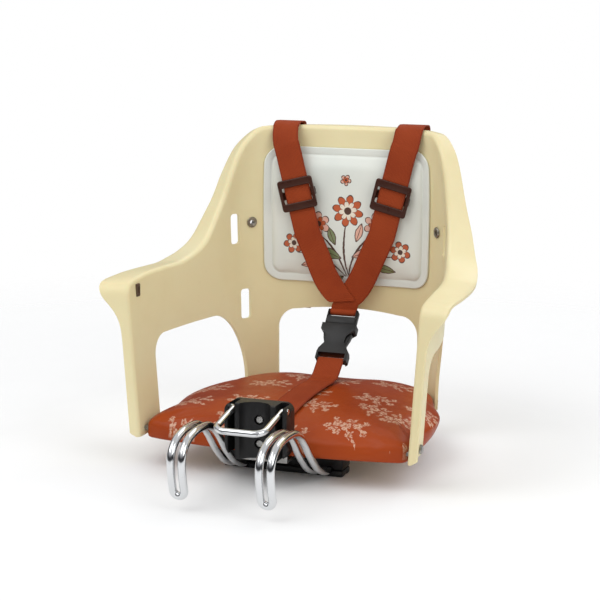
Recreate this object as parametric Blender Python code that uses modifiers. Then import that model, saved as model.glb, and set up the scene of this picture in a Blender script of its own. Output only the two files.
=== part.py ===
"""Front child seat for a bicycle: moulded shell, cushion, harness, handlebar hooks and stem block.

All sizes are in metres. Places on the seat are given as x (to the right as seen from the front),
depth (backwards from the front line of the legs) and height (above the feet of the legs). The empty
seat_datum carries that frame. The world origin is under the middle of the front rod clamp, which the
seat stands on, +Z up, the open front of the seat towards -Y.
"""
import bpy
import bmesh
import numpy as np
from math import cos, sin, pi, radians, asin, atan2
from mathutils import Matrix, Vector

# Clearances
fit_gap = 0.0003
cut_overrun = 0.004
weld_distance = 0.00001

# Seat shell
shell_wall = 0.0026
front_half_width = 0.118
side_bow_radius = 0.600
back_depth = 0.193
back_corner_radius = 0.045
armrest_spread = 0.009
spread_power = 4
spread_ease = 35.0
spread_ease_height = 0.155
leg_front_depth = -0.005
arm_height = 0.1325
back_height = 0.2495
corner_round = 0.008
fold_radius = 0.004
lip_tip_width = 0.0255
lip_leg_width = 0.0095
lip_tip_drop = 0.020
lip_leg_sweep = radians(-17)
lip_droop = radians(23)
lip_forward = 0.30
lip_run_shares = (0.0, 0.12, 0.25, 0.36, 0.44, 0.525, 0.613, 0.704, 0.783, 1.0)
lip_width_shares = (1.0, 1.06, 1.09, 1.085, 1.05, 0.865, 0.60, 0.54, 0.57, 0.54)
lip_droop_shares = (0.0, 0.26, 0.36, 0.43, 0.57, 0.82, 0.73, 0.49, 0.20, 0.0)
foot_round = 0.006
foot_lip_share = 0.45
ridge_run_shares = (0.0, 0.159, 0.330, 0.420, 0.480, 0.573, 0.652, 0.710, 0.770, 0.850, 1.0)
ridge_rise_shares = (0.0, 0.026, 0.030, 0.072, 0.140, 0.434, 0.876, 0.984, 0.993, 0.998, 1.0)
wall_row_shares = (0.0, 0.05, 0.6, 0.74, 0.85, 0.93, 1.0)

# Windows and belt slots in the shell
side_window_front = 0.0355
side_window_rear = 0.171
window_top = 0.0795
side_window_front_radius = 0.018
side_window_rear_reach = 0.040
side_window_rear_drop = 0.063
rear_window_top = 0.083
rear_window_half_width = 0.0675
rear_window_corner = 0.018
rear_window_arch = 0.004
rear_arch_shares = (0.6, 0.0, -0.6)
slot_length = 0.028
slot_width = 0.0105
upper_slot_angle = radians(19.5)
upper_slot_middle = 0.155
lower_slot_angle = radians(31)
lower_slot_middle = 0.0845
eyelet_angle = radians(41)
eyelet_height = 0.160
eyelet_radius = 0.005
eyelet_barrel_radius = 0.0031
eyelet_bore_radius = 0.0022
eyelet_flange = 0.0006
insert_run = 0.018
insert_drop = 0.009
insert_height = arm_height - insert_drop
insert_length = 0.0105
insert_width = 0.0046
insert_proud = 0.0012

# Cushion and its board
board_thickness = 0.010
cover_wall = 0.0012
cushion_side_gap = 0.0012
cushion_front = 0.0115
cushion_bow = 0.0105
cushion_front_reach = 0.104
cushion_front_corner = 0.011
cushion_bulge = 0.009
cushion_middle = 0.010
cushion_peak = 0.0295
cushion_back_gap = 0.0045
hem_width = 0.014
hem_bend = 0.0009
foam_foot_share = 0.96
crown_power = 2.2
crown_flatness = 2.0
cushion_corner_share = 0.25
crown_ring_shares = (0.97, 0.9, 0.78, 0.55, 0.28)

# Backrest pad
pad_thickness = 0.005
pad_edge_thickness = 0.0022
pad_wrap = 0.0285
pad_low = 0.1055
pad_high = 0.230
pad_corner = 0.017
pad_back_shares = (0.3, 0.6, 0.8, 0.9, 0.985)
pad_edge_share = 0.6
pad_front_shares = (1.0, 0.985, 0.93, 0.8, 0.65, 0.35)
pad_rise_shares = (0.72, 0.95, 1.0, 1.0)

# Rods, hooks and their clamps
rod_radius = 0.00325
rod_spacing = 0.0095
hook_half_spacing = 0.037
rod_drop = 0.020
rod_end_depth = 0.160
clamp_half_width = 0.0535
clamp_length = 0.020
clamp_cap_thickness = 0.006
clamp_rounding = 0.0015
front_clamp_depth = 0.035
rod_end_reach = 0.017
rear_clamp_depth = rod_end_depth - rod_end_reach
hook_apex_depth = -0.0685
hook_apex_height = 0.0336
hook_forward = 0.0395
hook_backward = 0.1015
hook_rise = 0.0536
hook_tip_drop = 0.0425
hook_back_shares = (0.91, 0.85, 0.76, 0.635, 0.50, 0.42, 0.34, 0.24, 0.12)
hook_back_fall_shares = (1.0, 0.988, 0.935, 0.82, 0.61, 0.455, 0.29, 0.13, 0.03)
hook_front_shares = (0.0, 0.34, 0.64, 0.85, 0.97, 1.0, 0.97, 0.90)
hook_front_fall_shares = (0.0, 0.0, 0.06, 0.17, 0.32, 0.51, 0.75, 1.0)

# Screws, common to the clamps, the bracket, the block and the legs
screw_radius = 0.002
screw_clearance = 0.0003
screw_head_radius = 0.0039
screw_head_height = 0.0024
screw_bite = 0.008
clamp_screw_inner = 0.022
clamp_screw_outer = 0.0495
leg_screw_height = 0.0060
leg_screw_bite = 0.012
front_leg_screw_runs = (0.012, 0.029)
rear_leg_screw_angles = (radians(41), radians(59))

# Stem block, its bracket and the wire bail
bracket_thickness = 0.0025
bracket_half_width = 0.020
bracket_rear_depth = 0.020
bracket_top = 0.040
bracket_screw_depths = (0.005, 0.0148)
block_screw_heights = (0.012, 0.032)
block_depth = 0.020
block_height = 0.047
block_half_width = 0.027
block_foot_half_width = 0.017
block_corner = 0.007
block_foot_round = 0.014
block_foot_end = radians(-8.6)
block_shoulder_share = 0.42
block_screw_floor = 0.007
groove_radius = 0.0145
groove_depth = 0.0095
bail_wire_radius = 0.00275
bail_arm = 0.0435
bail_half_width = 0.0207
bail_pivot_height = 0.0415
bail_pivot_inset = 0.0068
bail_rest_angle = radians(-10.9)
bail_corner_radius = 0.009
bail_pin_reach = 0.0058
bail_channel_depth = 0.0152
bail_clearance = 0.0005

# Harness
webbing_width = 0.025
webbing_thickness = 0.0014
strap_top_half_spacing = 0.059
strap_standoff = 0.0050
strap_loop_rise = 0.006
strap_tail_left = 0.0795
strap_tail_right = 0.092
strap_rivet_height = 0.120
strap_rivet_x = 0.052
strap_tail_inward = 0.002
strap_hang_outward = 0.003
strap_hang_rise = 0.050
strap_meet_shares = (0.74, 0.49, 0.22, 0.03)
strap_meet_height_shares = ((0.69, 0.38, 0.14, 0.0), (0.69, 0.38, 0.16, 0.05))
adjuster_path_shares = (0.33, 0.66, 1.0)

# A shoulder strap over the top edge, in eight steps: shares of the lip, off the back, inwards, up
strap_bend_lip_shares = (0.0, 0.5, 1.0, 1.0, 0.55, 0.0, 0.0, 0.0)
strap_bend_off = (0.0006, 0.0, 0.0005, -0.0010, 0.0, 0.0010, -0.0064, 0.0010)
strap_bend_inward = (0.002, 0.0, 0.0, 0.0, 0.0, 0.0, 0.0007, 0.0025)
strap_bend_rise = (-0.036, -0.019, -0.0055, 0.0009, 0.0011, 0.0010, -0.0028, -0.014)

# Crotch strap: from the end of the buckle to the cushion, forwards over it and round its front
crotch_lift = 0.0006
crotch_fold_reaches = (0.0155, 0.025)
crotch_fold_lifts = (0.003, 0.0007)
crotch_landing_reach = 0.0275
crotch_front_inset = 0.0075
crotch_top_shares = (0.0, 0.09, 0.236, 0.398, 0.561, 0.724, 0.87, 0.951, 1.0)
crotch_turn_back_shares = (0.35, 0.0, 0.0, 0.02, 0.3, 1.0, 2.0)
crotch_turn_rise_shares = (2.7, 0.0, 1.0, 0.1, 0.25, 0.02, 0.0)
rivet_shank_radius = 0.0022
rivet_head_radius = 0.0046
rivet_head_height = 0.0011
rivet_dome_height = 0.0016
adjuster_width = 0.034
adjuster_length = 0.029
adjuster_plate = 0.0025
adjuster_bar = 0.0072
adjuster_side = 0.0038
adjuster_post = 0.0030
adjuster_rear_bar = 0.0075
adjuster_rear_plate = 0.0018
adjuster_rounding = 0.0009
adjuster_height = 0.188
adjuster_high = 0.222
adjuster_low = 0.153
adjuster_high_x = 0.0526
adjuster_low_x = 0.0354

# Side-release buckle
buckle_top_height = 0.082
buckle_lean = radians(42)
buckle_length = 0.055
buckle_thickness = 0.0098
buckle_plate = 0.0018
tongue_length = 0.0158
tongue_half_width = 0.0145
body_half_width = 0.0160
body_mouth_end = 0.0235
body_waist = 0.0090
body_strap_start = 0.0425
body_mouth_wall = 0.0036
prong_thickness = 0.0054
prong_root = 0.0052
prong_inner = 0.0056
prong_shoulder = 0.0135
prong_tip = 0.0085
prong_end = 0.0400
guide_half_width = 0.0024
guide_end = 0.0400
strap_bar_radius = 0.0017
strap_slot_length = 0.0048
buckle_rounding = 0.0016
buckle_set_back = 0.001
tongue_loop_start = radians(30)
tongue_loop_end = radians(260)
body_loop_start = radians(-75)
body_loop_end = radians(-275)

# Colours: red, green, blue
cream = (0.62, 0.50, 0.30)
pad_white = (0.60, 0.62, 0.60)
vinyl_rust = (0.36, 0.09, 0.03)
webbing_rust = (0.27, 0.05, 0.02)
adjuster_brown = (0.03, 0.012, 0.008)
moulded_black = (0.012, 0.012, 0.013)
chrome_grey = (0.62, 0.63, 0.65)
steel_grey = (0.42, 0.42, 0.43)
plywood_tan = (0.45, 0.30, 0.17)
foam_yellow = (0.72, 0.60, 0.34)
insert_brown = (0.09, 0.05, 0.02)

underside_drop = rod_drop + clamp_cap_thickness


def clear_scene():
    for thing in list(bpy.data.objects):
        bpy.data.objects.remove(thing, do_unlink=True)
    for old in list(bpy.data.collections):
        bpy.data.collections.remove(old)


clear_scene()
parts = bpy.data.collections.new("bicycle_child_seat")
cutters = bpy.data.collections.new("cutters")
bpy.context.scene.collection.children.link(parts)
bpy.context.scene.collection.children.link(cutters)
seat_datum = bpy.data.objects.new("seat_datum", None)
seat_datum.location = (0.0, -front_clamp_depth, underside_drop)
parts.objects.link(seat_datum)


def finish(name, colour, roughness, metallic=0.0):
    """A plain Principled material."""
    material = bpy.data.materials.new(name)
    material.use_nodes = True
    shader = material.node_tree.nodes["Principled BSDF"]
    shader.inputs["Base Color"].default_value = (*colour, 1.0)
    shader.inputs["Roughness"].default_value = roughness
    shader.inputs["Metallic"].default_value = metallic
    return material


def piece(name, mesh, material, location=(0.0, 0.0, 0.0), rotation=(0.0, 0.0, 0.0), parent=None):
    """Puts a mesh in the scene as one named part, carried by the seat datum unless told otherwise."""
    thing = bpy.data.objects.new(name, mesh)
    mesh.materials.clear()
    mesh.materials.append(material)
    thing.parent = parent or seat_datum
    thing.location = location
    thing.rotation_euler = rotation
    parts.objects.link(thing)
    mesh.shade_smooth()
    mesh.set_sharp_from_angle(angle=radians(35))
    return thing


def repeated(name, mesh, places, material):
    """Like pieces that share one mesh, numbered, each standing where its matrix says."""
    for number, place in enumerate(places, 1):
        thing = piece("%s_%d" % (name, number), mesh, material)
        thing.matrix_local = place


def cutter(name, mesh, location=(0.0, 0.0, 0.0), rotation=(0.0, 0.0, 0.0), parent=None):
    thing = bpy.data.objects.new(name, mesh)
    thing.parent = parent or seat_datum
    thing.location = location
    thing.rotation_euler = rotation
    thing.hide_render = True
    thing.display_type = "WIRE"
    cutters.objects.link(thing)
    return thing


def boolean(target, tool, operation="DIFFERENCE"):
    step = target.modifiers.new(tool.name, "BOOLEAN")
    step.object = tool
    step.operation = operation
    return step


def new_mesh(name, bm):
    """Turns a bmesh into a mesh whose faces point outwards."""
    bmesh.ops.remove_doubles(bm, verts=bm.verts, dist=weld_distance)
    bmesh.ops.recalc_face_normals(bm, faces=bm.faces)
    mesh = bpy.data.meshes.new(name)
    bm.to_mesh(mesh)
    bm.free()
    return mesh


def joined(name, meshes_and_places):
    """One mesh from copies of other meshes, each moved by its own matrix."""
    bm = bmesh.new()
    for source, place in meshes_and_places:
        start = len(bm.verts)
        bm.from_mesh(source)
        bm.verts.ensure_lookup_table()
        bmesh.ops.transform(bm, matrix=place, verts=bm.verts[start:])
    mesh = bpy.data.meshes.new(name)
    bm.to_mesh(mesh)
    bm.free()
    return mesh


def box(low, high, rounding=0.0):
    """A box between two corners, its edges rounded."""
    bm = bmesh.new()
    bmesh.ops.create_cube(bm, size=1.0)
    low, high = Vector(low), Vector(high)
    size = high - low
    bmesh.ops.scale(bm, vec=size, verts=bm.verts)
    bmesh.ops.translate(bm, vec=(low + high) / 2, verts=bm.verts)
    if rounding:
        bmesh.ops.bevel(bm, geom=bm.edges[:], offset=rounding, segments=2, profile=0.5, affect="EDGES")
    return new_mesh("box", bm)


def cylinder(radius, start, end, sides=16):
    """A cylinder of given radius between two points."""
    start, end = Vector(start), Vector(end)
    bm = bmesh.new()
    bmesh.ops.create_cone(bm, cap_ends=True, segments=sides, radius1=radius, radius2=radius,
                          depth=(end - start).length)
    turn = Vector((0, 0, 1)).rotation_difference(end - start).to_matrix().to_4x4()
    bmesh.ops.transform(bm, matrix=Matrix.Translation((start + end) / 2) @ turn, verts=bm.verts)
    return new_mesh("cylinder", bm)


def evaluated_mesh(thing):
    """The mesh of a curve or of an object with modifiers; the object itself is removed."""
    bpy.context.scene.collection.objects.link(thing)
    bpy.context.view_layer.update()
    result = bpy.data.meshes.new_from_object(thing.evaluated_get(bpy.context.evaluated_depsgraph_get()))
    bpy.data.objects.remove(thing, do_unlink=True)
    bm = bmesh.new()
    bm.from_mesh(result)
    return new_mesh("evaluated", bm)


def plate(outline, thickness):
    """A flat outline in its own x and y, filled and made thickness deep, half of it on each side."""
    curve = bpy.data.curves.new("outline", "CURVE")
    curve.dimensions = "2D"
    curve.fill_mode = "BOTH"
    curve.extrude = thickness / 2
    line = curve.splines.new("POLY")
    line.points.add(len(outline) - 1)
    for point, (x, y) in zip(line.points, outline):
        point.co = (x, y, 0.0, 1.0)
    line.use_cyclic_u = True
    return evaluated_mesh(bpy.data.objects.new("outline", curve))


def tube(points, radius, resolution=2):
    """A round wire or rod along points, with closed ends."""
    curve = bpy.data.curves.new("tube", "CURVE")
    curve.dimensions = "3D"
    curve.bevel_depth = radius
    curve.bevel_resolution = resolution
    curve.use_fill_caps = True
    line = curve.splines.new("POLY")
    line.points.add(len(points) - 1)
    for point, place in zip(line.points, points):
        point.co = (*place, 1.0)
    return evaluated_mesh(bpy.data.objects.new("tube", curve))


def turned(profile, steps=12):
    """A profile of (radius, height) points, top to bottom, turned round the z axis."""
    bm = bmesh.new()
    corners = [bm.verts.new((radius, 0.0, height)) for radius, height in profile]
    for first, second in zip(corners, corners[1:]):
        bm.edges.new((first, second))
    mesh = bpy.data.meshes.new("profile")
    bm.to_mesh(mesh)
    bm.free()
    thing = bpy.data.objects.new("profile", mesh)
    screw = thing.modifiers.new("turn", "SCREW")
    screw.steps = steps
    screw.render_steps = steps
    screw.use_merge_vertices = True
    screw.merge_threshold = weld_distance
    return evaluated_mesh(thing)


def arc(centre, radius, start, end, steps, reach=None):
    """Points of a round or, with reach, elliptical corner; angles in radians, both ends included."""
    reach = radius if reach is None else reach
    return [(centre[0] + radius * cos(angle), centre[1] + reach * sin(angle))
            for angle in np.linspace(start, end, steps + 1)]


def smooth_through(xs, ys, x):
    """A smooth monotone curve through given points: cubic Hermite with harmonic-mean slopes."""
    xs, ys = np.asarray(xs, float), np.asarray(ys, float)
    steps = np.diff(xs)
    rises = np.diff(ys) / steps
    slopes = np.zeros_like(ys)
    product = rises[:-1] * rises[1:]
    total = rises[:-1] + rises[1:]
    slopes[1:-1] = np.where(product > 0, 2 * product / np.where(total == 0, 1, total), 0)
    i = np.clip(np.searchsorted(xs, x) - 1, 0, len(steps) - 1)
    t = (x - xs[i]) / steps[i]
    return ((1 + 2 * t) * (1 - t) ** 2 * ys[i] + t * (1 - t) ** 2 * steps[i] * slopes[i]
            + t * t * (3 - 2 * t) * ys[i + 1] + t * t * (t - 1) * steps[i] * slopes[i + 1])


def smooth_path(points, steps):
    """Points of a centripetal-like Catmull-Rom curve through points, steps to each span."""
    points = np.asarray(points, float)
    ends = np.vstack([2 * points[0] - points[1], points, 2 * points[-1] - points[-2]])
    path = []
    for p0, p1, p2, p3 in zip(ends, ends[1:], ends[2:], ends[3:]):
        for t in np.arange(steps) / steps:
            path.append(0.5 * (2 * p1 + (p2 - p0) * t + (2 * p0 - 5 * p1 + 4 * p2 - p3) * t ** 2
                               + (3 * p1 - p0 - 3 * p2 + p3) * t ** 3))
    path.append(points[-1])
    return np.array(path)


# The plan of the shell: gently bowed side, round corner, straight back. A place on it is its run,
# the length along the plan from the front edge of the leg.
side_end_angle = asin((back_depth - leg_front_depth - back_corner_radius) / (side_bow_radius - back_corner_radius))
side_run = side_bow_radius * side_end_angle
side_end = leg_front_depth + side_bow_radius * sin(side_end_angle)
arc_run = back_corner_radius * (pi / 2 - side_end_angle)
back_run = (front_half_width - side_bow_radius * (1 - cos(side_end_angle))
            - back_corner_radius * cos(side_end_angle))
half_run = side_run + arc_run + back_run
pad_half_run = back_run + pad_wrap
arc_centre = (back_run, back_depth - back_corner_radius)


def spread_at(depth, height):
    """How far the wall leans out at a height, less again near the top; nothing at the flat of the back."""
    eased = height - spread_ease * max(0.0, height - spread_ease_height) ** 2
    return armrest_spread * eased / arm_height * (1 - (max(depth, 0.0) / back_depth) ** spread_power)


def wall_place(run, height, inset=0.0):
    """A point of the right inner wall face, moved towards the inside by inset, and its outward angle."""
    if run <= side_run:
        angle = run / side_bow_radius
        x = front_half_width - side_bow_radius * (1 - cos(angle))
        depth = leg_front_depth + side_bow_radius * sin(angle)
    elif run <= side_run + arc_run:
        angle = side_end_angle + (run - side_run) / back_corner_radius
        x = arc_centre[0] + back_corner_radius * cos(angle)
        depth = arc_centre[1] + back_corner_radius * sin(angle)
    else:
        angle = pi / 2
        x = half_run - run
        depth = back_depth
    return Vector((x + spread_at(depth, height) - cos(angle) * inset, depth - sin(angle) * inset, height)), angle


def wall_x(depth, height=0.0):
    """Half width of the inside of the shell at a depth on its bowed sides."""
    fall = side_bow_radius - (side_bow_radius ** 2 - (depth - leg_front_depth) ** 2) ** 0.5
    return front_half_width - fall + spread_at(depth, height)


def run_at_angle(angle):
    return side_run + (angle - side_end_angle) * back_corner_radius

def ridge_height(run):
    rise = back_height - arm_height
    return arm_height + rise * float(smooth_through(ridge_run_shares, ridge_rise_shares, run / half_run))


def lip_width_at(run):
    share = (run - fold_radius) / (half_run - fold_radius)
    return lip_tip_width * float(smooth_through(lip_run_shares, lip_width_shares, share))


def ridge_tangent(run):
    """Direction of the free top edge, towards the back."""
    step = fold_radius
    start, end = max(run - step, 0.0), min(run + step, half_run)
    return (wall_place(end, ridge_height(end))[0] - wall_place(start, ridge_height(start))[0]).normalized()


def shell_half():
    """The right half of the shell as one open surface: wall, rounded fold and turned-out lip."""
    side = np.linspace(fold_radius + 1.2 * corner_round, side_run, 17)
    bend = np.linspace(side_run, side_run + arc_run, 10)[1:]
    back = np.linspace(side_run + arc_run, half_run, 5)[1:]
    runs = [fold_radius, *side, *bend, *back]
    setback = corner_round * (1 - cos(pi / 4))
    tops = [arm_height - setback - fold_radius] + [ridge_height(run) - fold_radius for run in runs[1:]]
    bm = bmesh.new()
    wall = []
    for share in wall_row_shares:
        row = []
        for column, (run, top) in enumerate(zip(runs, tops)):
            if column == 0 and share == 1.0:
                run = fold_radius + setback
            place, angle = wall_place(run, share * top)
            row.append((bm.verts.new(place), run, angle))
        wall.append(row)
    for low, high in zip(wall, wall[1:]):
        for a, b, c, d in zip(low, low[1:], high[1:], high):
            bm.faces.new((a[0], b[0], c[0], d[0]))
    along_leg = Vector((0.0, 1.0, 0.0))
    down = Vector((0.0, 0.0, -1.0))
    edge = []
    for vert, run, angle in [row[0] for row in wall[:-1]]:
        nearness = float(np.exp(-((tops[0] + fold_radius - vert.co.z) / lip_tip_drop) ** 2))
        width = lip_leg_width + (lip_tip_width - lip_leg_width) * nearness
        foot = min(1.0, foot_lip_share + vert.co.z / foot_round)
        edge.append((vert, along_leg, angle, width * foot, lip_leg_sweep * (1 - nearness), nearness))
    edge.append((wall[-1][0][0], along_leg + down, 0.0, lip_tip_width, 0.0, 1.0))
    for vert, run, angle in wall[-1][1:]:
        share = (run - fold_radius) / (half_run - fold_radius)
        width = lip_width_at(run)
        droop = lip_droop * float(smooth_through(lip_run_shares, lip_droop_shares, share))
        tangent = ridge_tangent(run)
        inward = (down - tangent * down.dot(tangent)).normalized()
        nearness = max(0.0, 1 - share / lip_run_shares[1])
        edge.append((vert, inward, angle, width, droop, nearness))
    strips = []
    for vert, inward, angle, width, droop, nearness in edge:
        out = Vector((cos(angle), sin(angle), 0.0))
        start = vert.co.copy()
        strip = [vert]
        for turn in np.linspace(0.0, pi / 2 + droop, 4)[1:]:
            bend_point = start + fold_radius * (out * (1 - cos(turn)) - inward * sin(turn))
            strip.append(bm.verts.new(bend_point))
        heading = out * cos(droop) + inward.normalized() * sin(droop) - along_leg * lip_forward * nearness
        for share in (0.5, 1.0):
            strip.append(bm.verts.new(bend_point + heading * (width - fold_radius) * share))
        strips.append(strip)
    for first, second in zip(strips, strips[1:]):
        for a, b, c, d in zip(first, first[1:], second[1:], second):
            bm.faces.new((a, b, c, d))
    bmesh.ops.recalc_face_normals(bm, faces=bm.faces)
    middle = wall[0][3][0].link_faces[0]
    if middle.normal.x > 0:
        bmesh.ops.reverse_faces(bm, faces=bm.faces)
    mesh = bpy.data.meshes.new("seat_shell")
    bm.to_mesh(mesh)
    bm.free()
    return mesh


def side_window_outline():
    low = -cut_overrun
    front, rear = side_window_front, side_window_rear
    corner = arc((front + side_window_front_radius, window_top - side_window_front_radius),
                 side_window_front_radius, pi, pi / 2, 6)
    far = arc((rear - side_window_rear_reach, window_top - side_window_rear_drop),
              side_window_rear_reach, pi / 2, 0.0, 8, side_window_rear_drop)
    return [(rear, low), (front, low)] + corner + far


def rear_window_outline():
    low = -cut_overrun
    width = rear_window_half_width
    corner = arc((width - rear_window_corner, rear_window_top - rear_window_arch - rear_window_corner),
                 rear_window_corner, 0.0, pi / 2, 6)
    arch = [(width - rear_window_corner) * share for share in rear_arch_shares]
    edge = width - rear_window_corner
    top = [(x, rear_window_top - rear_window_arch * (x / edge) ** 2) for x in arch]
    mirrored = [(-x, height) for x, height in reversed(corner)]
    return [(-width, low), (width, low)] + corner + top + mirrored


def upright_x():
    """Turns a plate drawn in (depth, height) to stand with its thickness along x."""
    return Matrix(((0, 0, 1, 0), (1, 0, 0, 0), (0, 1, 0, 0), (0, 0, 0, 1)))


def upright_y():
    """Turns a plate drawn in (x, height) to stand with its thickness along depth."""
    return Matrix(((1, 0, 0, 0), (0, 0, -1, 0), (0, 1, 0, 0), (0, 0, 0, 1)))


def placed(mesh, matrix):
    return joined(mesh.name, [(mesh, matrix)])


def on_wall(run, height, side, inset=0.0):
    """A matrix at a point of the inner wall: its z points out of the seat, its y up."""
    place, angle = wall_place(run, height, inset)
    out = Vector((side * cos(angle), sin(angle), 0.0))
    up = Vector((0.0, 0.0, 1.0))
    across = up.cross(out)
    place.x *= side
    matrix = Matrix.Identity(4)
    for column, axis in enumerate((across, up, out)):
        matrix.col[column][:3] = axis
    matrix.col[3][:3] = place
    return matrix


def leg_screw_places():
    runs = [*front_leg_screw_runs, *[run_at_angle(angle) for angle in rear_leg_screw_angles]]
    return [on_wall(run, leg_screw_height, side) for side in (1, -1) for run in runs]


def leg_screw_holes(extra):
    reach = leg_screw_bite + cut_overrun
    hole = cylinder(screw_radius + extra, (0, 0, -reach), (0, 0, shell_wall + cut_overrun), 12)
    return joined("leg_screw_holes", [(hole, place) for place in leg_screw_places()])


def rivet_places():
    run = half_run - strap_rivet_x
    return [on_wall(run, strap_rivet_height, side) for side in (1, -1)]


def make_shell():
    shell = piece("seat_shell", shell_half(), finish("shell_cream", cream, 0.42))
    mirror = shell.modifiers.new("other half", "MIRROR")
    mirror.use_clip = True
    mirror.merge_threshold = weld_distance
    solid = shell.modifiers.new("wall", "SOLIDIFY")
    solid.thickness = shell_wall
    solid.offset = -1.0
    solid.use_even_offset = True
    across = 2 * (front_half_width + armrest_spread + lip_tip_width)
    window = placed(plate(side_window_outline(), across), upright_x())
    boolean(shell, cutter("side_window", window))
    window = placed(plate(rear_window_outline(), 2 * back_corner_radius), upright_y())
    boolean(shell, cutter("rear_window", window, (0.0, back_depth, 0.0)))
    half, corner = slot_width / 2, slot_width / 3
    ends = [(half - corner, slot_length / 2 - corner, 0.0), (corner - half, slot_length / 2 - corner, pi / 2),
            (corner - half, corner - slot_length / 2, pi), (half - corner, corner - slot_length / 2, 1.5 * pi)]
    slot = plate(sum([arc((x, y), corner, start, start + pi / 2, 2) for x, y, start in ends], []),
                 6 * shell_wall)
    slots = [(slot, on_wall(run, height, side)) for side in (1, -1)
             for run, height in ((run_at_angle(upper_slot_angle), upper_slot_middle),
                                 (run_at_angle(lower_slot_angle), lower_slot_middle))]
    boolean(shell, cutter("belt_slots", joined("belt_slots", slots)))
    socket = box((-insert_width / 2, -insert_length / 2, -cut_overrun),
                 (insert_width / 2, insert_length / 2, shell_wall + cut_overrun))
    sockets = [(socket, on_wall(insert_run, insert_height, side)) for side in (1, -1)]
    boolean(shell, cutter("insert_sockets", joined("insert_sockets", sockets)))
    hole = cylinder(eyelet_barrel_radius + fit_gap, (0, 0, -cut_overrun), (0, 0, shell_wall + cut_overrun))
    holes = [(hole, on_wall(run_at_angle(eyelet_angle), eyelet_height, side)) for side in (1, -1)]
    boolean(shell, cutter("eyelet_holes", joined("eyelet_holes", holes)))
    boolean(shell, cutter("shell_screw_holes", leg_screw_holes(screw_clearance)))
    shank = cylinder(rivet_shank_radius + fit_gap, (0, 0, -cut_overrun), (0, 0, shell_wall + cut_overrun))
    sink = cylinder(rivet_head_radius + fit_gap, (0, 0, -cut_overrun), (0, 0, rivet_head_height + fit_gap))
    boolean(shell, cutter("rivet_holes", joined("rivet_holes", [(shank, p) for p in rivet_places()])))
    boolean(shell, cutter("rivet_sinks", joined("rivet_sinks", [(sink, p) for p in rivet_places()])))
    return shell


def make_eyelets():
    """Rolled metal eyelets: a flange inside, a barrel through the wall and a flange outside."""
    curvature_gap = eyelet_radius ** 2 / (2 * back_corner_radius)
    inner = -fit_gap - 2 * curvature_gap
    outer = shell_wall + 2 * fit_gap
    profile = [(eyelet_bore_radius, outer + eyelet_flange), (eyelet_radius, outer + eyelet_flange),
               (eyelet_radius, outer), (eyelet_barrel_radius, outer), (eyelet_barrel_radius, inner),
               (eyelet_radius, inner), (eyelet_radius - eyelet_flange / 2, inner - eyelet_flange),
               (eyelet_bore_radius, inner - eyelet_flange), (eyelet_bore_radius, outer + eyelet_flange)]
    ring = turned(profile, 12)
    places = [on_wall(run_at_angle(eyelet_angle), eyelet_height, side) for side in (1, -1)]
    repeated("side_eyelet", ring, places, finish("eyelet_metal", steel_grey, 0.35, 1.0))


def make_inserts():
    half_width = insert_width / 2 - fit_gap
    half_length = insert_length / 2 - fit_gap
    plug = box((-half_width, -half_length, -fit_gap), (half_width, half_length, shell_wall + insert_proud))
    places = [on_wall(insert_run, insert_height, side) for side in (1, -1)]
    repeated("armrest_insert", plug, places, finish("insert_brown", insert_brown, 0.6))


def cushion_outline(inset, bulge_share):
    """Half plan of the cushion from the front centre to the back centre, as (x, depth) points."""
    points = []
    for x in np.linspace(0.0, cushion_front_reach, 7):
        bow = cushion_bow * (x / cushion_front_reach) ** 2
        points.append(Vector((x, bow - cushion_front)))
    side_start = cushion_front_corner
    corner_x = wall_x(side_start) - cushion_side_gap
    corner_depth = cushion_bow - cushion_front
    points.append(Vector((corner_x - cushion_corner_share * (corner_x - cushion_front_reach),
                          corner_depth + cushion_corner_share * (side_start - corner_depth))))
    for depth in np.linspace(side_start, side_end, 9):
        inside = np.clip((depth - side_window_front) / (side_end - side_window_front), 0.0, 1.0)
        swell = cushion_bulge * bulge_share * sin(pi * inside) ** 2
        points.append(Vector((wall_x(depth) - cushion_side_gap + swell, depth)))
    for angle in np.linspace(side_end_angle, pi / 2, 6)[1:]:
        radius = back_corner_radius - cushion_side_gap
        points.append(Vector((arc_centre[0] + radius * cos(angle), arc_centre[1] + radius * sin(angle))))
    back = points[-1].y
    for x in (back_run / 2, 0.0):
        points.append(Vector((x, back)))
    if inset:
        moved = []
        for i, point in enumerate(points):
            before = points[i - 1] if i else Vector((-points[1].x, points[1].y))
            after = points[i + 1] if i + 1 < len(points) else Vector((-points[-2].x, points[-2].y))
            along = (after - before).normalized()
            moved.append(point + Vector((-along.y, along.x)) * inset)
        points = moved
        points[0].x = 0.0
        points[-1].x = 0.0
    return points


def closed_outline(inset, bulge_share):
    half = cushion_outline(inset, bulge_share)
    return half + [Vector((-point.x, point.y)) for point in reversed(half[1:-1])]


def crown_height(share, low, peak):
    """Height of the cushion's top at a share of the way from its middle to its edge."""
    return low + (peak - low) * (1 - share ** crown_power) ** (1 / crown_flatness)


def ring_surface(rings, close_top=None, close_bottom=None):
    """Joins rings of equally many points, bottom to top, and closes an end by a middle point."""
    bm = bmesh.new()
    rows = [[bm.verts.new(point) for point in ring] for ring in rings]
    for low, high in zip(rows, rows[1:]):
        for i in range(len(low)):
            k = (i + 1) % len(low)
            bm.faces.new((low[i], low[k], high[k], high[i]))
    for middle, row, flip in ((close_bottom, rows[0], True), (close_top, rows[-1], False)):
        if middle is None:
            continue
        hub = bm.verts.new(middle)
        for i in range(len(row)):
            k = (i + 1) % len(row)
            bm.faces.new((row[k], row[i], hub) if flip else (row[i], row[k], hub))
    mesh = bpy.data.meshes.new("rings")
    bm.to_mesh(mesh)
    bm.free()
    return mesh


cushion_back = back_depth - cushion_side_gap
cushion_centre = (cushion_back - cushion_front) / 2


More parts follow.
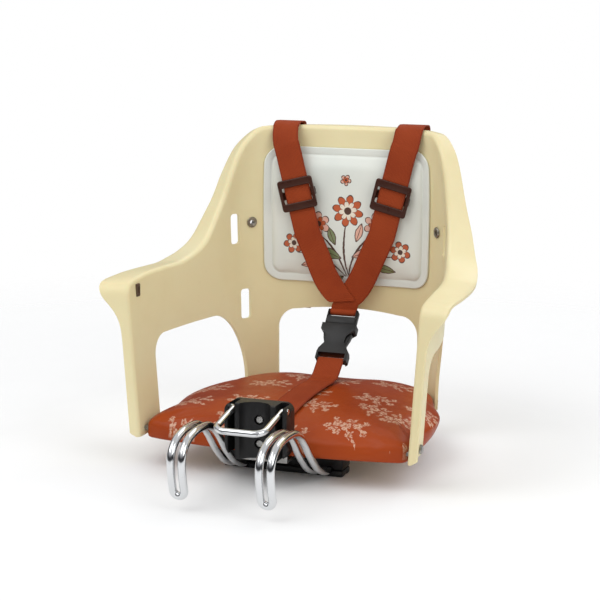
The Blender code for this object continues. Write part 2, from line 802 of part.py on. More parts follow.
def crown_rings(inset, low, peak):
    rings = []
    edge = closed_outline(inset, 1.0)
    for share in crown_ring_shares:
        height = crown_height(share, low, peak)
        rings.append([Vector((p.x * share, cushion_centre + (p.y - cushion_centre) * share, height))
                      for p in edge])
    return rings


def make_cover():
    """Vinyl cover: crowned top, swelling sides and a hem turned in under the board."""
    rows = ((hem_width, -cover_wall, 0.0), (hem_bend, -cover_wall, 0.3), (0.0, hem_bend - cover_wall, 0.45),
            (0.0, cushion_middle, 1.0))
    rings = [[Vector((p.x, p.y, height)) for p in closed_outline(inset, bulge)]
             for inset, height, bulge in rows]
    rings += crown_rings(0.0, cushion_middle, cushion_peak)
    mesh = ring_surface(rings, close_top=Vector((0.0, cushion_centre, cushion_peak)))
    cover = piece("seat_cover", mesh, finish("cover_vinyl", vinyl_rust, 0.4))
    wall = cover.modifiers.new("vinyl", "SOLIDIFY")
    wall.thickness = cover_wall - fit_gap
    wall.offset = -1.0
    boolean(cover, cutter("cover_screw_holes", leg_screw_holes(2 * screw_clearance)))


def make_board_and_foam():
    inset = cover_wall + fit_gap
    board_low = fit_gap
    outline = [(p.x, p.y) for p in closed_outline(inset + 4 * fit_gap, 0.0)]
    slab = plate(outline, board_thickness)
    board = piece("seat_board", slab, finish("plywood", plywood_tan, 0.7),
                  (0.0, 0.0, board_low + board_thickness / 2))
    boolean(board, cutter("board_screw_holes", leg_screw_holes(screw_clearance)))
    top = board_low + board_thickness
    pilots = [(cylinder(screw_radius + screw_clearance, (0, 0, -cut_overrun),
                        (0, 0, screw_bite + screw_clearance), 12), Matrix.Translation((x, depth, board_low)))
              for x, depth in [*clamp_screw_places(), *[(0.0, depth) for depth in bracket_screw_depths]]]
    boolean(board, cutter("board_pilots", joined("board_pilots", pilots)))
    low = top + fit_gap
    foam_peak = cushion_peak - 2 * cover_wall
    foot = [Vector((p.x * foam_foot_share, cushion_centre + (p.y - cushion_centre) * foam_foot_share, low))
            for p in closed_outline(inset, 1.0)]
    rings = [foot] + crown_rings(inset, cushion_middle, foam_peak)
    mesh = ring_surface(rings, Vector((0.0, cushion_centre, foam_peak)), Vector((0.0, cushion_centre, low)))
    piece("seat_foam", mesh, finish("foam", foam_yellow, 0.9))


def make_pad():
    """Padded vinyl panel bent to the inside of the back, thinner at its rounded edges."""
    half_height = (pad_high - pad_low) / 2
    middle = (pad_high + pad_low) / 2
    corner = []
    for centre_x, centre_y, start in ((1, 1, 0), (-1, 1, 1), (-1, -1, 2), (1, -1, 3)):
        corner += arc((centre_x * (pad_half_run - pad_corner), centre_y * (half_height - pad_corner)),
                      pad_corner, start * pi / 2, (start + 1) * pi / 2, 4)
        along = (pad_half_run - pad_corner) if start % 2 == 0 else 0.0
        for share in (0.6, 0.2, -0.2, -0.6):
            if along:
                sign = 1 if start == 0 else -1
                corner.append((sign * along * share, sign * half_height))
            else:
                sign = -1 if start == 1 else 1
                corner.append((sign * pad_half_run, -sign * (half_height - pad_corner) * share))

    def ring(share, inset):
        points = []
        for across, up in corner:
            run = half_run - abs(across) * share
            place, angle = wall_place(run, middle + up * share, inset)
            points.append(Vector((place.x * (1 if across >= 0 else -1), place.y, place.z)))
        return points

    rings = [ring(share, fit_gap) for share in pad_back_shares]
    levels = [pad_edge_thickness * pad_edge_share, pad_edge_thickness]
    levels += [pad_thickness * share for share in pad_rise_shares]
    rings += [ring(share, level) for share, level in zip(pad_front_shares, levels)]
    back = wall_place(half_run, middle, fit_gap)[0]
    front = wall_place(half_run, middle, pad_thickness)[0]
    mesh = ring_surface(rings, front, back)
    piece("backrest_pad", mesh, finish("pad_vinyl", pad_white, 0.45))


def hook_route(side):
    """Centre line of one hook: out along one rod, round the bend at the tip and back along the other."""
    reach, drop = hook_reach_and_drop()
    line = smooth_path([(depth, height) for depth, height in zip(reach, drop)], 2)
    straight_end = (rod_end_depth, -rod_drop)
    outer = hook_half_spacing + rod_spacing / 2
    inner = hook_half_spacing - rod_spacing / 2
    first = [(side * outer, *straight_end)] + [(side * outer, *point) for point in line]
    second = [(side * inner, *point) for point in reversed(line)] + [(side * inner, *straight_end)]
    heading = line[-1] - line[-2]
    heading = heading / np.linalg.norm(heading)
    bend = []
    for angle in np.linspace(0.0, pi, 7)[1:-1]:
        ahead = heading * rod_spacing / 2 * sin(angle)
        bend.append((side * (hook_half_spacing + rod_spacing / 2 * cos(angle)),
                     line[-1][0] + ahead[0], line[-1][1] + ahead[1]))
    return first + bend + second


def hook_reach_and_drop():
    """Side view of a hook: depths and heights of the points that its centre line runs through, measured
    from the top of the bend over the handlebar, as shares of the hook's reach and of its rise."""
    reach = [hook_apex_depth + hook_backward * share for share in hook_back_shares]
    drop = [hook_apex_height - hook_rise * share for share in hook_back_fall_shares]
    reach += [hook_apex_depth - hook_forward * share for share in hook_front_shares]
    drop += [hook_apex_height - hook_tip_drop * share for share in hook_front_fall_shares]
    return reach, drop


def make_hooks(chrome):
    for side, label in ((1, "right"), (-1, "left")):
        piece("hook_rod_" + label, tube(hook_route(side), rod_radius, 2), chrome)


def clamp_screw_places():
    return [(side * x, depth) for depth in (front_clamp_depth, rear_clamp_depth) for side in (1, -1)
            for x in (clamp_screw_inner, clamp_screw_outer)]


def make_clamps(black, steel):
    """Each clamp is a block under the board and a cap, which hold the four rods between them."""
    half_length = clamp_length / 2
    holes = []
    for depth in (front_clamp_depth, rear_clamp_depth):
        for side in (1, -1):
            for rod in (-0.5, 0.5):
                x = side * (hook_half_spacing + rod * rod_spacing)
                holes.append((cylinder(rod_radius + fit_gap, (x, depth - clamp_length, -rod_drop),
                                       (x, depth + clamp_length, -rod_drop), 16), Matrix.Identity(4)))
    rods = cutter("rod_channels", joined("rod_channels", holes))
    bores = [(cylinder(screw_radius + screw_clearance, (0, 0, -underside_drop - cut_overrun),
                       (0, 0, cut_overrun), 12), Matrix.Translation((x, depth, 0)))
             for x, depth in clamp_screw_places()]
    bores = cutter("clamp_bores", joined("clamp_bores", bores))
    sinks = [(cylinder(screw_head_radius + screw_clearance, (0, 0, -underside_drop - cut_overrun),
                       (0, 0, -underside_drop + screw_head_height + 2 * fit_gap), 16),
              Matrix.Translation((x, depth, 0))) for x, depth in clamp_screw_places()]
    sinks = cutter("clamp_sinks", joined("clamp_sinks", sinks))
    for depth, label in ((front_clamp_depth, "front"), (rear_clamp_depth, "rear")):
        block = piece("clamp_block_" + label,
                      box((-clamp_half_width, -half_length, -rod_drop),
                          (clamp_half_width, half_length, 0.0), clamp_rounding), black, (0, depth, 0))
        cap = piece("clamp_cap_" + label,
                    box((-clamp_half_width, -half_length, -underside_drop),
                        (clamp_half_width, half_length, -rod_drop - fit_gap), clamp_rounding),
                    black, (0, depth, 0))
        for part in (block, cap):
            boolean(part, rods)
            boolean(part, bores)
        boolean(cap, sinks)
    floor = fit_gap - underside_drop
    screw = screw_mesh(floor, screw_bite)
    places = [Matrix.Translation((x, depth, 0)) for x, depth in clamp_screw_places()]
    repeated("clamp_screw", screw, places, steel)


def screw_mesh(head_bottom, tip):
    """A round-headed screw pointing up: its head starts at head_bottom, its point is at tip."""
    seat = head_bottom + screw_head_height
    profile = [(0.0, tip), (screw_radius * 0.6, tip - screw_radius * 0.6),
               (screw_radius, tip - 2 * screw_radius), (screw_radius, seat), (screw_head_radius, seat),
               (screw_head_radius, head_bottom + screw_head_height * 0.45),
               (screw_head_radius * 0.7, head_bottom), (0.0, head_bottom)]
    return turned(profile, 10)


def make_leg_screws(steel):
    screw = screw_mesh(-screw_head_height, leg_screw_bite + shell_wall)
    turn = Matrix.Rotation(pi, 4, "X")
    lift = Matrix.Translation((0, 0, shell_wall + fit_gap))
    repeated("leg_screw", screw, [place @ lift @ turn for place in leg_screw_places()], steel)


# Front of the stack at the middle of the cushion: cover, webbing, bracket, block, each a gap apart.
strap_front_depth = -cushion_front - fit_gap - webbing_thickness
bracket_front_depth = strap_front_depth - fit_gap - bracket_thickness
block_rear_depth = bracket_front_depth - fit_gap
block_front_depth = block_rear_depth - block_depth
webbing_low = -cover_wall - fit_gap - webbing_thickness
bracket_low = webbing_low - fit_gap - bracket_thickness


def make_bracket(steel):
    """Steel angle: one leg under the board, the other up behind the block."""
    outline = [(bracket_front_depth, bracket_low), (bracket_rear_depth, bracket_low),
               (bracket_rear_depth, bracket_low + bracket_thickness),
               (bracket_front_depth + bracket_thickness, bracket_low + bracket_thickness),
               (bracket_front_depth + bracket_thickness, bracket_top), (bracket_front_depth, bracket_top)]
    mesh = placed(plate(outline, 2 * bracket_half_width), upright_x())
    bracket = piece("stem_bracket", mesh, finish("bracket_steel", steel_grey, 0.45, 1.0))
    radius = screw_radius + screw_clearance
    holes = [(cylinder(radius, (0, depth, bracket_low - cut_overrun), (0, depth, 0.0), 12),
              Matrix.Identity(4)) for depth in bracket_screw_depths]
    holes += [(cylinder(radius, (0, block_front_depth, height), (0, 0, height), 12), Matrix.Identity(4))
              for height in block_screw_heights]
    boolean(bracket, cutter("bracket_holes", joined("bracket_holes", holes)))
    screw = screw_mesh(bracket_low - fit_gap - screw_head_height, screw_bite)
    places = [Matrix.Translation((0, depth, 0)) for depth in bracket_screw_depths]
    repeated("bracket_screw", screw, places, steel)


def block_outline():
    """Front view of the block: square shoulders with round corners, narrowing to a rounded foot."""
    half, foot = block_half_width, block_foot_half_width
    right = arc((half - block_corner, block_height - block_corner), block_corner, 0.0, pi / 2, 4)
    right = [(half, block_height * block_shoulder_share)] + right
    low = arc((foot, block_foot_round), half - foot, -pi / 2, block_foot_end, 4, block_foot_round)
    right = low + right
    return right + [(-x, height) for x, height in reversed(right)]


def make_block(black, steel):
    """Saddle block with a concave groove for the stem and a channel for each arm of the bail."""
    mesh = placed(plate(block_outline(), block_depth), upright_y())
    block = piece("stem_block", mesh, black, (0.0, (block_front_depth + block_rear_depth) / 2, 0.0))
    groove_axis = block_front_depth + groove_depth - groove_radius
    groove = cylinder(groove_radius, (0, groove_axis, -cut_overrun),
                      (0, groove_axis, block_height + cut_overrun), 24)
    boolean(block, cutter("stem_groove", groove))
    inner = bail_half_width - bail_wire_radius - bail_clearance
    outer = bail_half_width + bail_wire_radius + bail_clearance
    channel = box((inner, block_front_depth - cut_overrun, -cut_overrun),
                  (outer, block_front_depth + bail_channel_depth, block_height + cut_overrun))
    mirrored = Matrix.Rotation(pi, 4, "Z")
    centre = block_front_depth + (bail_channel_depth - cut_overrun) / 2
    other = Matrix.Translation((0, centre, 0)) @ mirrored @ Matrix.Translation((0, -centre, 0))
    boolean(block, cutter("bail_channels", joined("bail_channels", [(channel, Matrix.Identity(4)),
                                                                      (channel, other)])))
    pivot_depth = block_front_depth + bail_pivot_inset
    width = block_half_width + cut_overrun
    holes = [(cylinder(bail_wire_radius + fit_gap, (side * bail_half_width, pivot_depth, bail_pivot_height),
                       (side * width, pivot_depth, bail_pivot_height), 16), Matrix.Identity(4))
             for side in (1, -1)]
    boolean(block, cutter("bail_pivots", joined("bail_pivots", holes)))
    radius = screw_radius + screw_clearance
    bores = [(cylinder(radius, (0, block_front_depth - cut_overrun, height),
                       (0, block_rear_depth + cut_overrun, height), 12), Matrix.Identity(4))
             for height in block_screw_heights]
    boolean(block, cutter("block_bores", joined("block_bores", bores)))
    floor = block_rear_depth - block_screw_floor
    sinks = [(cylinder(screw_head_radius + screw_clearance, (0, block_front_depth - cut_overrun, height),
                       (0, floor, height), 16), Matrix.Identity(4)) for height in block_screw_heights]
    boolean(block, cutter("block_sinks", joined("block_sinks", sinks)))
    screw = screw_mesh(-screw_head_height - fit_gap, block_screw_floor + bracket_thickness)
    turn = Matrix.Rotation(-pi / 2, 4, "X")
    places = [Matrix.Translation((0, floor, height)) @ turn for height in block_screw_heights]
    repeated("stem_block_screw", screw, places, steel)


def bail_route():
    """Half of the wire in its own frame: pin along x in the pivot, arm forwards, crossbar."""
    wide, arm, bend = bail_half_width, bail_arm, bail_corner_radius
    pin_bend = bail_wire_radius
    half = [(wide + bail_pin_reach, 0.0, 0.0), (wide + pin_bend, 0.0, 0.0)]
    half += [(x, y, 0.0) for x, y in arc((wide + pin_bend, -pin_bend), pin_bend, pi / 2, pi, 3)[1:]]
    half += [(wide, -arm / 2, 0.0)]
    half += [(x, y, 0.0) for x, y in arc((wide - bend, bend - arm), bend, 0.0, -pi / 2, 5)]
    return half + [(-x, y, z) for x, y, z in reversed(half)]


def make_bail(chrome):
    pivot = (0.0, block_front_depth + bail_pivot_inset, bail_pivot_height)
    piece("stem_bail", tube(bail_route(), bail_wire_radius, 2), chrome, pivot, (-bail_rest_angle, 0.0, 0.0))


def ribbon(route, across, width, thickness):
    """Webbing: a flat section carried along a route, with its width along the vectors in across."""
    route = np.asarray(route, float)
    across = np.asarray(across, float)
    along = np.gradient(route, axis=0)
    along /= np.linalg.norm(along, axis=1)[:, None]
    across /= np.linalg.norm(across, axis=1)[:, None]
    face = np.cross(along, across)
    face /= np.linalg.norm(face, axis=1)[:, None]
    section = ((0.5, -0.5), (0.5, 0.5), (-0.5, 0.5), (-0.5, -0.5))
    bm = bmesh.new()
    rows = []
    for place, side, up in zip(route, across, face):
        rows.append([bm.verts.new(place + side * width * u + up * thickness * v) for u, v in section])
    count = len(section)
    for first, second in zip(rows, rows[1:]):
        for i in range(count):
            k = (i + 1) % count
            bm.faces.new((first[i], first[k], second[k], second[i]))
    bm.faces.new(rows[0])
    bm.faces.new(list(reversed(rows[-1])))
    return new_mesh("ribbon", bm)


strap_slope = (adjuster_high_x - adjuster_low_x) / (adjuster_high - adjuster_low)
strap_depth = back_depth - pad_thickness - strap_standoff - webbing_thickness / 2
strap_behind = back_depth + shell_wall + fit_gap + webbing_thickness / 2
buckle_top_depth = strap_depth + buckle_set_back
buckle_along = Vector((0.0, -sin(buckle_lean), -cos(buckle_lean)))
buckle_up = Vector((0.0, -cos(buckle_lean), sin(buckle_lean)))


def shoulder_route(side, tail_height, layer):
    """Route of a shoulder strap, from its tail behind the back, over the top edge, to the buckle."""
    lip = lip_width_at(half_run - strap_top_half_spacing) + fit_gap + webbing_thickness
    rim = back_height + fit_gap + webbing_thickness / 2
    top_x = strap_top_half_spacing
    front = strap_depth - layer * (webbing_thickness + fit_gap)
    line = [(strap_rivet_x - strap_tail_inward, strap_behind, tail_height),
            (strap_rivet_x, strap_behind, strap_rivet_height),
            (strap_rivet_x + strap_hang_outward, strap_behind, strap_rivet_height + strap_hang_rise)]
    depths = [strap_behind] * 2 + [back_depth] * 5 + [front]
    heights = [back_height] * 4 + [rim] * 2 + [back_height] * 2
    for depth, height, share, off, inward, rise in zip(depths, heights, strap_bend_lip_shares, strap_bend_off,
                                                       strap_bend_inward, strap_bend_rise):
        line.append((top_x - inward, depth + share * lip + off, height + rise))
    line += [(adjuster_high_x, front, adjuster_high), (adjuster_low_x, front, adjuster_low)]
    line = smooth_path(line, 3)[:-3]
    spread = [(adjuster_high_x + (adjuster_low_x - adjuster_high_x) * share, front,
               adjuster_high + (adjuster_low - adjuster_high) * share) for share in adjuster_path_shares]
    low = buckle_top_height + strap_loop_rise
    tail = [(adjuster_low_x * u, front, low + (adjuster_low - low) * v)
            for u, v in zip(strap_meet_shares, strap_meet_height_shares[layer])]
    tail = smooth_path([spread[-1], *tail], 3)[1:]
    route = [*line, *spread, *tail]
    return [(side * x, depth, height) for x, depth, height in route]


def make_shoulder_straps(material):
    """The right strap ends in a loop round the bar of the tongue; the left is sewn on in front of it."""
    for side, label, tail_height, layer in ((1, "right", strap_tail_right, 0), (-1, "left", strap_tail_left, 1)):
        route = shoulder_route(side, tail_height, layer)
        if layer == 0:
            route = route + tongue_loop()
        across = []
        for place, step in zip(route, np.gradient(np.asarray(route, float), axis=0)):
            square = np.clip((place[2] - buckle_top_height - strap_loop_rise) / webbing_width, 0.0, 1.0)
            lean = -step[0] / step[2] if abs(step[2]) > abs(step[1]) else 0.0
            across.append((1.0, 0.0, lean * square))
        strap = piece("shoulder_strap_" + label, ribbon(route, across, webbing_width, webbing_thickness), material)
        hole = cylinder(rivet_shank_radius + 2 * fit_gap, (0, 0, 0), (0, 0, shell_wall + 4 * webbing_thickness))
        place = rivet_places()[0 if side == 1 else 1]
        boolean(strap, cutter("strap_rivet_hole_" + label, placed(hole, place)))


buckle_datum = bpy.data.objects.new("buckle_datum", None)
buckle_datum.parent = seat_datum
buckle_datum.matrix_local = Matrix(((-1.0, buckle_along.x, buckle_up.x, 0.0),
                                    (0.0, buckle_along.y, buckle_up.y, buckle_top_depth),
                                    (0.0, buckle_along.z, buckle_up.z, buckle_top_height),
                                    (0.0, 0.0, 0.0, 1.0)))
parts.objects.link(buckle_datum)


def buckle_place(along, up=0.0, x=0.0):
    top = Vector((0.0, buckle_top_depth, buckle_top_height))
    return tuple(top + buckle_along * along + buckle_up * up + Vector((x, 0.0, 0.0)))


def tongue_loop():
    """End of the right strap: round the bar at the top of the tongue and back up behind itself."""
    radius = strap_bar_radius + fit_gap + webbing_thickness / 2
    loop = []
    for angle in np.linspace(tongue_loop_start, tongue_loop_end, 9):
        loop.append(buckle_place(strap_bar_radius - radius * cos(angle), radius * sin(angle)))
    return loop


def make_strap_rivets(steel):
    """Flat head let into the shell under the pad, shank through shell and webbing, domed end behind."""
    outside = shell_wall + 2 * fit_gap + webbing_thickness + fit_gap
    profile = [(0.0, outside + rivet_dome_height), (rivet_head_radius * 0.6, outside + rivet_dome_height * 0.85),
               (rivet_head_radius, outside), (rivet_shank_radius, outside),
               (rivet_shank_radius, rivet_head_height), (rivet_head_radius, rivet_head_height),
               (rivet_head_radius, fit_gap), (0.0, fit_gap)]
    rivet = turned(profile, 12)
    repeated("strap_rivet", rivet, rivet_places(), steel)


def adjuster_mesh():
    """Slider in its own frame: x across, y up along the strap, z towards the viewer from the webbing."""
    half_width, half_length = adjuster_width / 2, adjuster_length / 2
    front = webbing_thickness / 2 + fit_gap
    window_x = half_width - adjuster_side
    window_y = half_length - adjuster_bar
    inner = webbing_width / 2 + 2 * fit_gap
    rear = -webbing_thickness / 2 - fit_gap
    face = box((-half_width, -half_length, front), (half_width, half_length, front + adjuster_plate),
               adjuster_rounding)
    posts = [box((side * inner if side > 0 else -half_width + fit_gap, -adjuster_rear_bar / 2,
                  rear - adjuster_rear_plate),
                 (half_width - fit_gap if side > 0 else -inner, adjuster_rear_bar / 2,
                  front + adjuster_plate / 2)) for side in (1, -1)]
    bar = box((-half_width + 2 * fit_gap, -adjuster_rear_bar / 2 + fit_gap, rear - adjuster_rear_plate + fit_gap),
              (half_width - 2 * fit_gap, adjuster_rear_bar / 2 - fit_gap, rear))
    window = box((-window_x, -window_y, front - cut_overrun),
                 (window_x, window_y, front + adjuster_plate + cut_overrun))
    return face, posts, bar, window


def make_adjusters(material):
    lean = atan2(adjuster_high_x - adjuster_low_x, adjuster_high - adjuster_low)
    middle_x = adjuster_low_x + strap_slope * (adjuster_height - adjuster_low)
    for side, label, layer in ((1, "right", 0), (-1, "left", 1)):
        depth = strap_depth - layer * (webbing_thickness + fit_gap)
        face, posts, bar, window = adjuster_mesh()
        place = (side * middle_x, depth, adjuster_height)
        turn = Matrix.Rotation(side * lean, 4, "Y") @ Matrix.Rotation(pi / 2, 4, "X")
        slider = piece("strap_adjuster_" + label, placed(face, turn), material, place)
        boolean(slider, cutter("adjuster_window_" + label, placed(window, turn), place))
        for number, post in enumerate(posts):
            boolean(slider, cutter("adjuster_post_%s_%d" % (label, number), placed(post, turn), place), "UNION")
        boolean(slider, cutter("adjuster_bar_" + label, placed(bar, turn), place), "UNION")


def make_buckle(black):
    """Side-release buckle in the frame of buckle_datum: x across, y down along it, z to the viewer."""
    half = buckle_thickness / 2
    slot_half = webbing_width / 2 + fit_gap
    tongue_half = half - buckle_plate / 2
    tongue = piece("buckle_tongue", box((-tongue_half_width, 0.0, -tongue_half),
                                        (tongue_half_width, tongue_length, tongue_half), buckle_rounding),
                   black, parent=buckle_datum)
    fork = box((-slot_half, -cut_overrun, -2 * half),
               (slot_half, 2 * strap_bar_radius + strap_slot_length, 2 * half))
    boolean(tongue, cutter("tongue_fork", fork, parent=buckle_datum))
    bar_half = slot_half + strap_bar_radius / 2
    bar = cylinder(strap_bar_radius, (-bar_half, strap_bar_radius, 0), (bar_half, strap_bar_radius, 0), 12)
    boolean(tongue, cutter("tongue_bar", bar, parent=buckle_datum), "UNION")
    guide = box((-guide_half_width, tongue_length - buckle_rounding, -prong_thickness / 2),
                (guide_half_width, guide_end, prong_thickness / 2))
    boolean(tongue, cutter("tongue_guide", guide, parent=buckle_datum), "UNION")
    body_start = tongue_length + fit_gap
    waist_start = body_mouth_end + body_mouth_wall
    right = [(body_half_width, body_start), (body_half_width, body_mouth_end - buckle_plate / 2),
             (body_waist + 2 * buckle_plate, body_mouth_end + buckle_plate),
             (body_waist + buckle_plate / 3, waist_start + buckle_plate),
             (body_waist, (waist_start + body_strap_start) / 2),
             (body_waist + buckle_plate / 2, body_strap_start - 3 * buckle_plate),
             (tongue_half_width - buckle_plate / 2, body_strap_start),
             (tongue_half_width, body_strap_start + 2 * buckle_plate),
             (tongue_half_width, buckle_length - buckle_plate),
             (tongue_half_width - buckle_plate, buckle_length)]
    body = piece("buckle_body", plate(right + [(-x, y) for x, y in reversed(right)], buckle_thickness),
                 black, parent=buckle_datum)
    cavity_half = prong_thickness / 2 + fit_gap
    mouth = body_half_width - body_mouth_wall
    hollow_end = body_strap_start - buckle_plate / 2
    cavity = box((-mouth, body_start - cut_overrun, -cavity_half), (mouth, hollow_end, cavity_half))
    boolean(body, cutter("buckle_mouth", cavity, parent=buckle_datum))
    for side, label in ((1, "right"), (-1, "left")):
        low, high = sorted((side * (body_waist - buckle_plate), side * (body_half_width + cut_overrun)))
        gap = box((low, body_mouth_end, -cavity_half + fit_gap / 10),
                  (high, hollow_end - fit_gap, cavity_half - fit_gap / 10))
        boolean(body, cutter("buckle_side_" + label, gap, parent=buckle_datum))
    bar_centre = buckle_length - strap_bar_radius
    fork = box((-slot_half, bar_centre - strap_bar_radius - strap_slot_length, -2 * half),
               (slot_half, buckle_length + cut_overrun, 2 * half))
    boolean(body, cutter("body_fork", fork, parent=buckle_datum))
    bar = cylinder(strap_bar_radius, (-bar_half, bar_centre, 0), (bar_half, bar_centre, 0), 12)
    boolean(body, cutter("body_bar", bar, parent=buckle_datum), "UNION")
    root_width = body_mouth_wall - fit_gap
    for side, label in ((-1, "right"), (1, "left")):
        shape = [(prong_root, body_start), (prong_root + root_width, body_start),
                 (prong_root + root_width, body_mouth_end - buckle_plate / 2),
                 (prong_root + 1.4 * root_width, body_mouth_end + 2 * fit_gap),
                 (prong_shoulder - 4 * fit_gap, body_mouth_end + 2 * fit_gap),
                 (prong_shoulder, body_mouth_end + buckle_plate),
                 (prong_shoulder - 4 * fit_gap, body_mouth_end + 4 * buckle_plate),
                 (prong_tip + buckle_plate, prong_end - 2 * buckle_plate),
                 (prong_tip, prong_end), (prong_inner, prong_end), (prong_inner, body_mouth_end)]
        shape = [(side * x, y) for x, y in shape]
        if side < 0:
            shape.reverse()
        piece("buckle_prong_" + label, plate(shape, prong_thickness), black, parent=buckle_datum)


def cushion_top(depth):
    """Height of the cushion's top along its middle line."""
    edge = -cushion_front if depth < cushion_centre else cushion_back
    share = min(1.0, abs((depth - cushion_centre) / (edge - cushion_centre)))
    return crown_height(share, cushion_middle, cushion_peak)


def make_crotch_strap(material):
    """From its loop on the buckle down to the cushion, forwards over it, round its front and under it."""
    radius = strap_bar_radius + fit_gap + webbing_thickness / 2
    bar = buckle_length - strap_bar_radius
    lift = fit_gap + webbing_thickness / 2 + crotch_lift
    loop = []
    for angle in np.linspace(body_loop_start, body_loop_end, 9):
        loop.append(Vector(buckle_place(bar + radius * cos(angle), radius * sin(angle))))
    buckle_end = buckle_place(buckle_length)[1]
    fold = [(0.0, buckle_end - reach, cushion_top(buckle_end - reach) + lift + rise)
            for reach, rise in zip(crotch_fold_reaches, crotch_fold_lifts)]
    landing = buckle_end - crotch_landing_reach
    rest = []
    for share in crotch_top_shares:
        depth = landing + (crotch_front_inset - cushion_front - landing) * share
        rest.append((0.0, depth, cushion_top(depth) + lift))
    front = -cushion_front - fit_gap - webbing_thickness / 2
    under = webbing_low + webbing_thickness / 2
    turn = 2 * webbing_thickness
    bases = [cushion_middle] * 2 + [0.0] * 2 + [under] * 3
    for base, back, rise in zip(bases, crotch_turn_back_shares, crotch_turn_rise_shares):
        rest.append((0.0, front + back * turn, base + rise * turn))
    rest.append((0.0, bracket_rear_depth - webbing_thickness, under))
    route = [tuple(p) for p in loop] + [tuple(p) for p in smooth_path([loop[-1], *fold, *rest], 2)[1:]]
    across = [(1.0, 0.0, 0.0)] * len(route)
    strap = piece("crotch_strap", ribbon(route, across, webbing_width, webbing_thickness), material)
    holes = [(cylinder(screw_radius + 2 * screw_clearance, (0, depth, bracket_low), (0, depth, 0.0), 12),
              Matrix.Identity(4)) for depth in bracket_screw_depths]
    boolean(strap, cutter("crotch_strap_holes", joined("crotch_strap_holes", holes)))


def make_all():
    chrome = finish("chrome", chrome_grey, 0.12, 1.0)
    black = finish("moulded_black", moulded_black, 0.45)
    steel = finish("zinc_steel", steel_grey, 0.35, 1.0)
    webbing = finish("webbing", webbing_rust, 0.8)
    make_shell()
    make_eyelets()
    make_inserts()
    make_pad()
    make_cover()
    make_board_and_foam()
    make_hooks(chrome)
    make_clamps(black, steel)
    make_leg_screws(steel)
    make_bracket(steel)
    make_block(black, steel)
    make_bail(chrome)
    make_shoulder_straps(webbing)
    make_strap_rivets(steel)
    make_adjusters(finish("adjuster_brown", adjuster_brown, 0.35))
    make_buckle(black)
    make_crotch_strap(webbing)


make_all()
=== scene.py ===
"""Looks of a front child seat for a bicycle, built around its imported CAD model.

Metres. +Z is up, the open front of the seat faces -Y. The sections follow the seat as it is put
together: shell, metal trim, cushion, backrest, rods and clamps, stem block, harness.
"""
import bpy
import bmesh
import numpy as np
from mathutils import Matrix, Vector


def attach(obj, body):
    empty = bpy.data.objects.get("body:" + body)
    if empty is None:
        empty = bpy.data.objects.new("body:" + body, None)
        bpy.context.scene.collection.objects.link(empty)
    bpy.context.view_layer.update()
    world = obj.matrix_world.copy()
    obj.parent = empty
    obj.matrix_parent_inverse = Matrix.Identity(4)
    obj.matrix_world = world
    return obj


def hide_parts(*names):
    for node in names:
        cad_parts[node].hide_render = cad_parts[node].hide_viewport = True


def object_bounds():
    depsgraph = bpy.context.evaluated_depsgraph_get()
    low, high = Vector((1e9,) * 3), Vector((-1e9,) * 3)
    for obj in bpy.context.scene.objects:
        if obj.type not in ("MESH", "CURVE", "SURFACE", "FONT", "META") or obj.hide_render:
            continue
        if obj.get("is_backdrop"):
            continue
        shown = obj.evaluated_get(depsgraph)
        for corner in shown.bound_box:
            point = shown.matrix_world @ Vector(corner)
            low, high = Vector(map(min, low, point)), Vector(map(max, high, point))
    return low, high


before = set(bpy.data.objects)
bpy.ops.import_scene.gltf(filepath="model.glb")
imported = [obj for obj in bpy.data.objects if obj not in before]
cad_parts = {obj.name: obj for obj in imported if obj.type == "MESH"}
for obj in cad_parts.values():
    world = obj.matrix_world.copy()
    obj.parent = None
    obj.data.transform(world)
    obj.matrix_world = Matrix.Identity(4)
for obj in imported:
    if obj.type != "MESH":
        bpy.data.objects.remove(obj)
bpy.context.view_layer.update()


# Studio. A pale floor that the seat stands on, a large soft light from the front and above, a weaker
# one from the right, and a pale room that the chrome mirrors with a darker band round its middle.
# The camera stands 1.5 m off, 20.5 degrees to the right of the seat's front and 11.2 degrees up.

scene = bpy.context.scene
scene.view_settings.view_transform = "Standard"
photo_side, photo_rise, photo_distance = 20.5, 11.2, 1.5
camera_aim, lamp_aim, lamp_distance = Vector((-0.004687, 0.045, 0.136865)), Vector((0, 0.04, 0.12)), 1.7


def sight(azimuth, elevation):
    """Unit vector from the seat to a viewer: azimuth from the seat's front, elevation from level."""
    azimuth, elevation = np.radians((azimuth, elevation))
    level = np.cos(elevation)
    return Vector((np.sin(azimuth) * level, -np.cos(azimuth) * level, np.sin(elevation)))


camera = bpy.data.objects.new("studio_camera", bpy.data.cameras.new("studio_camera"))
camera.data.lens = 105
camera.data.sensor_width = 36
camera.location = camera_aim + photo_distance * sight(photo_side, photo_rise)
camera.rotation_euler = sight(photo_side, photo_rise).to_track_quat("Z", "Y").to_euler()
scene.collection.objects.link(camera)
scene.camera = camera

for lamp_name, azimuth, elevation, size, power in (("key_light", -38, 52, 1.3, 10.5),
                                                   ("fill_light", 62, 34, 1.1, 8.0),
                                                   ("back_light", 168, 48, 1.2, 5.0)):
    lamp = bpy.data.objects.new(lamp_name, bpy.data.lights.new(lamp_name, "AREA"))
    lamp.data.energy = power
    lamp.data.size = size
    lamp.location = lamp_aim + lamp_distance * sight(azimuth, elevation)
    lamp.rotation_euler = sight(azimuth, elevation).to_track_quat("Z", "Y").to_euler()
    scene.collection.objects.link(lamp)


def put(tree, kind, inputs=None, **settings):
    """Adds a shader node: settings are its properties, inputs its sockets, linked or set."""
    new = tree.nodes.new(kind)
    for name, value in settings.items():
        setattr(new, name, value)
    for name, value in (inputs or {}).items():
        if isinstance(value, bpy.types.NodeSocket):
            tree.links.new(value, new.inputs[name])
        else:
            new.inputs[name].default_value = value
    return new


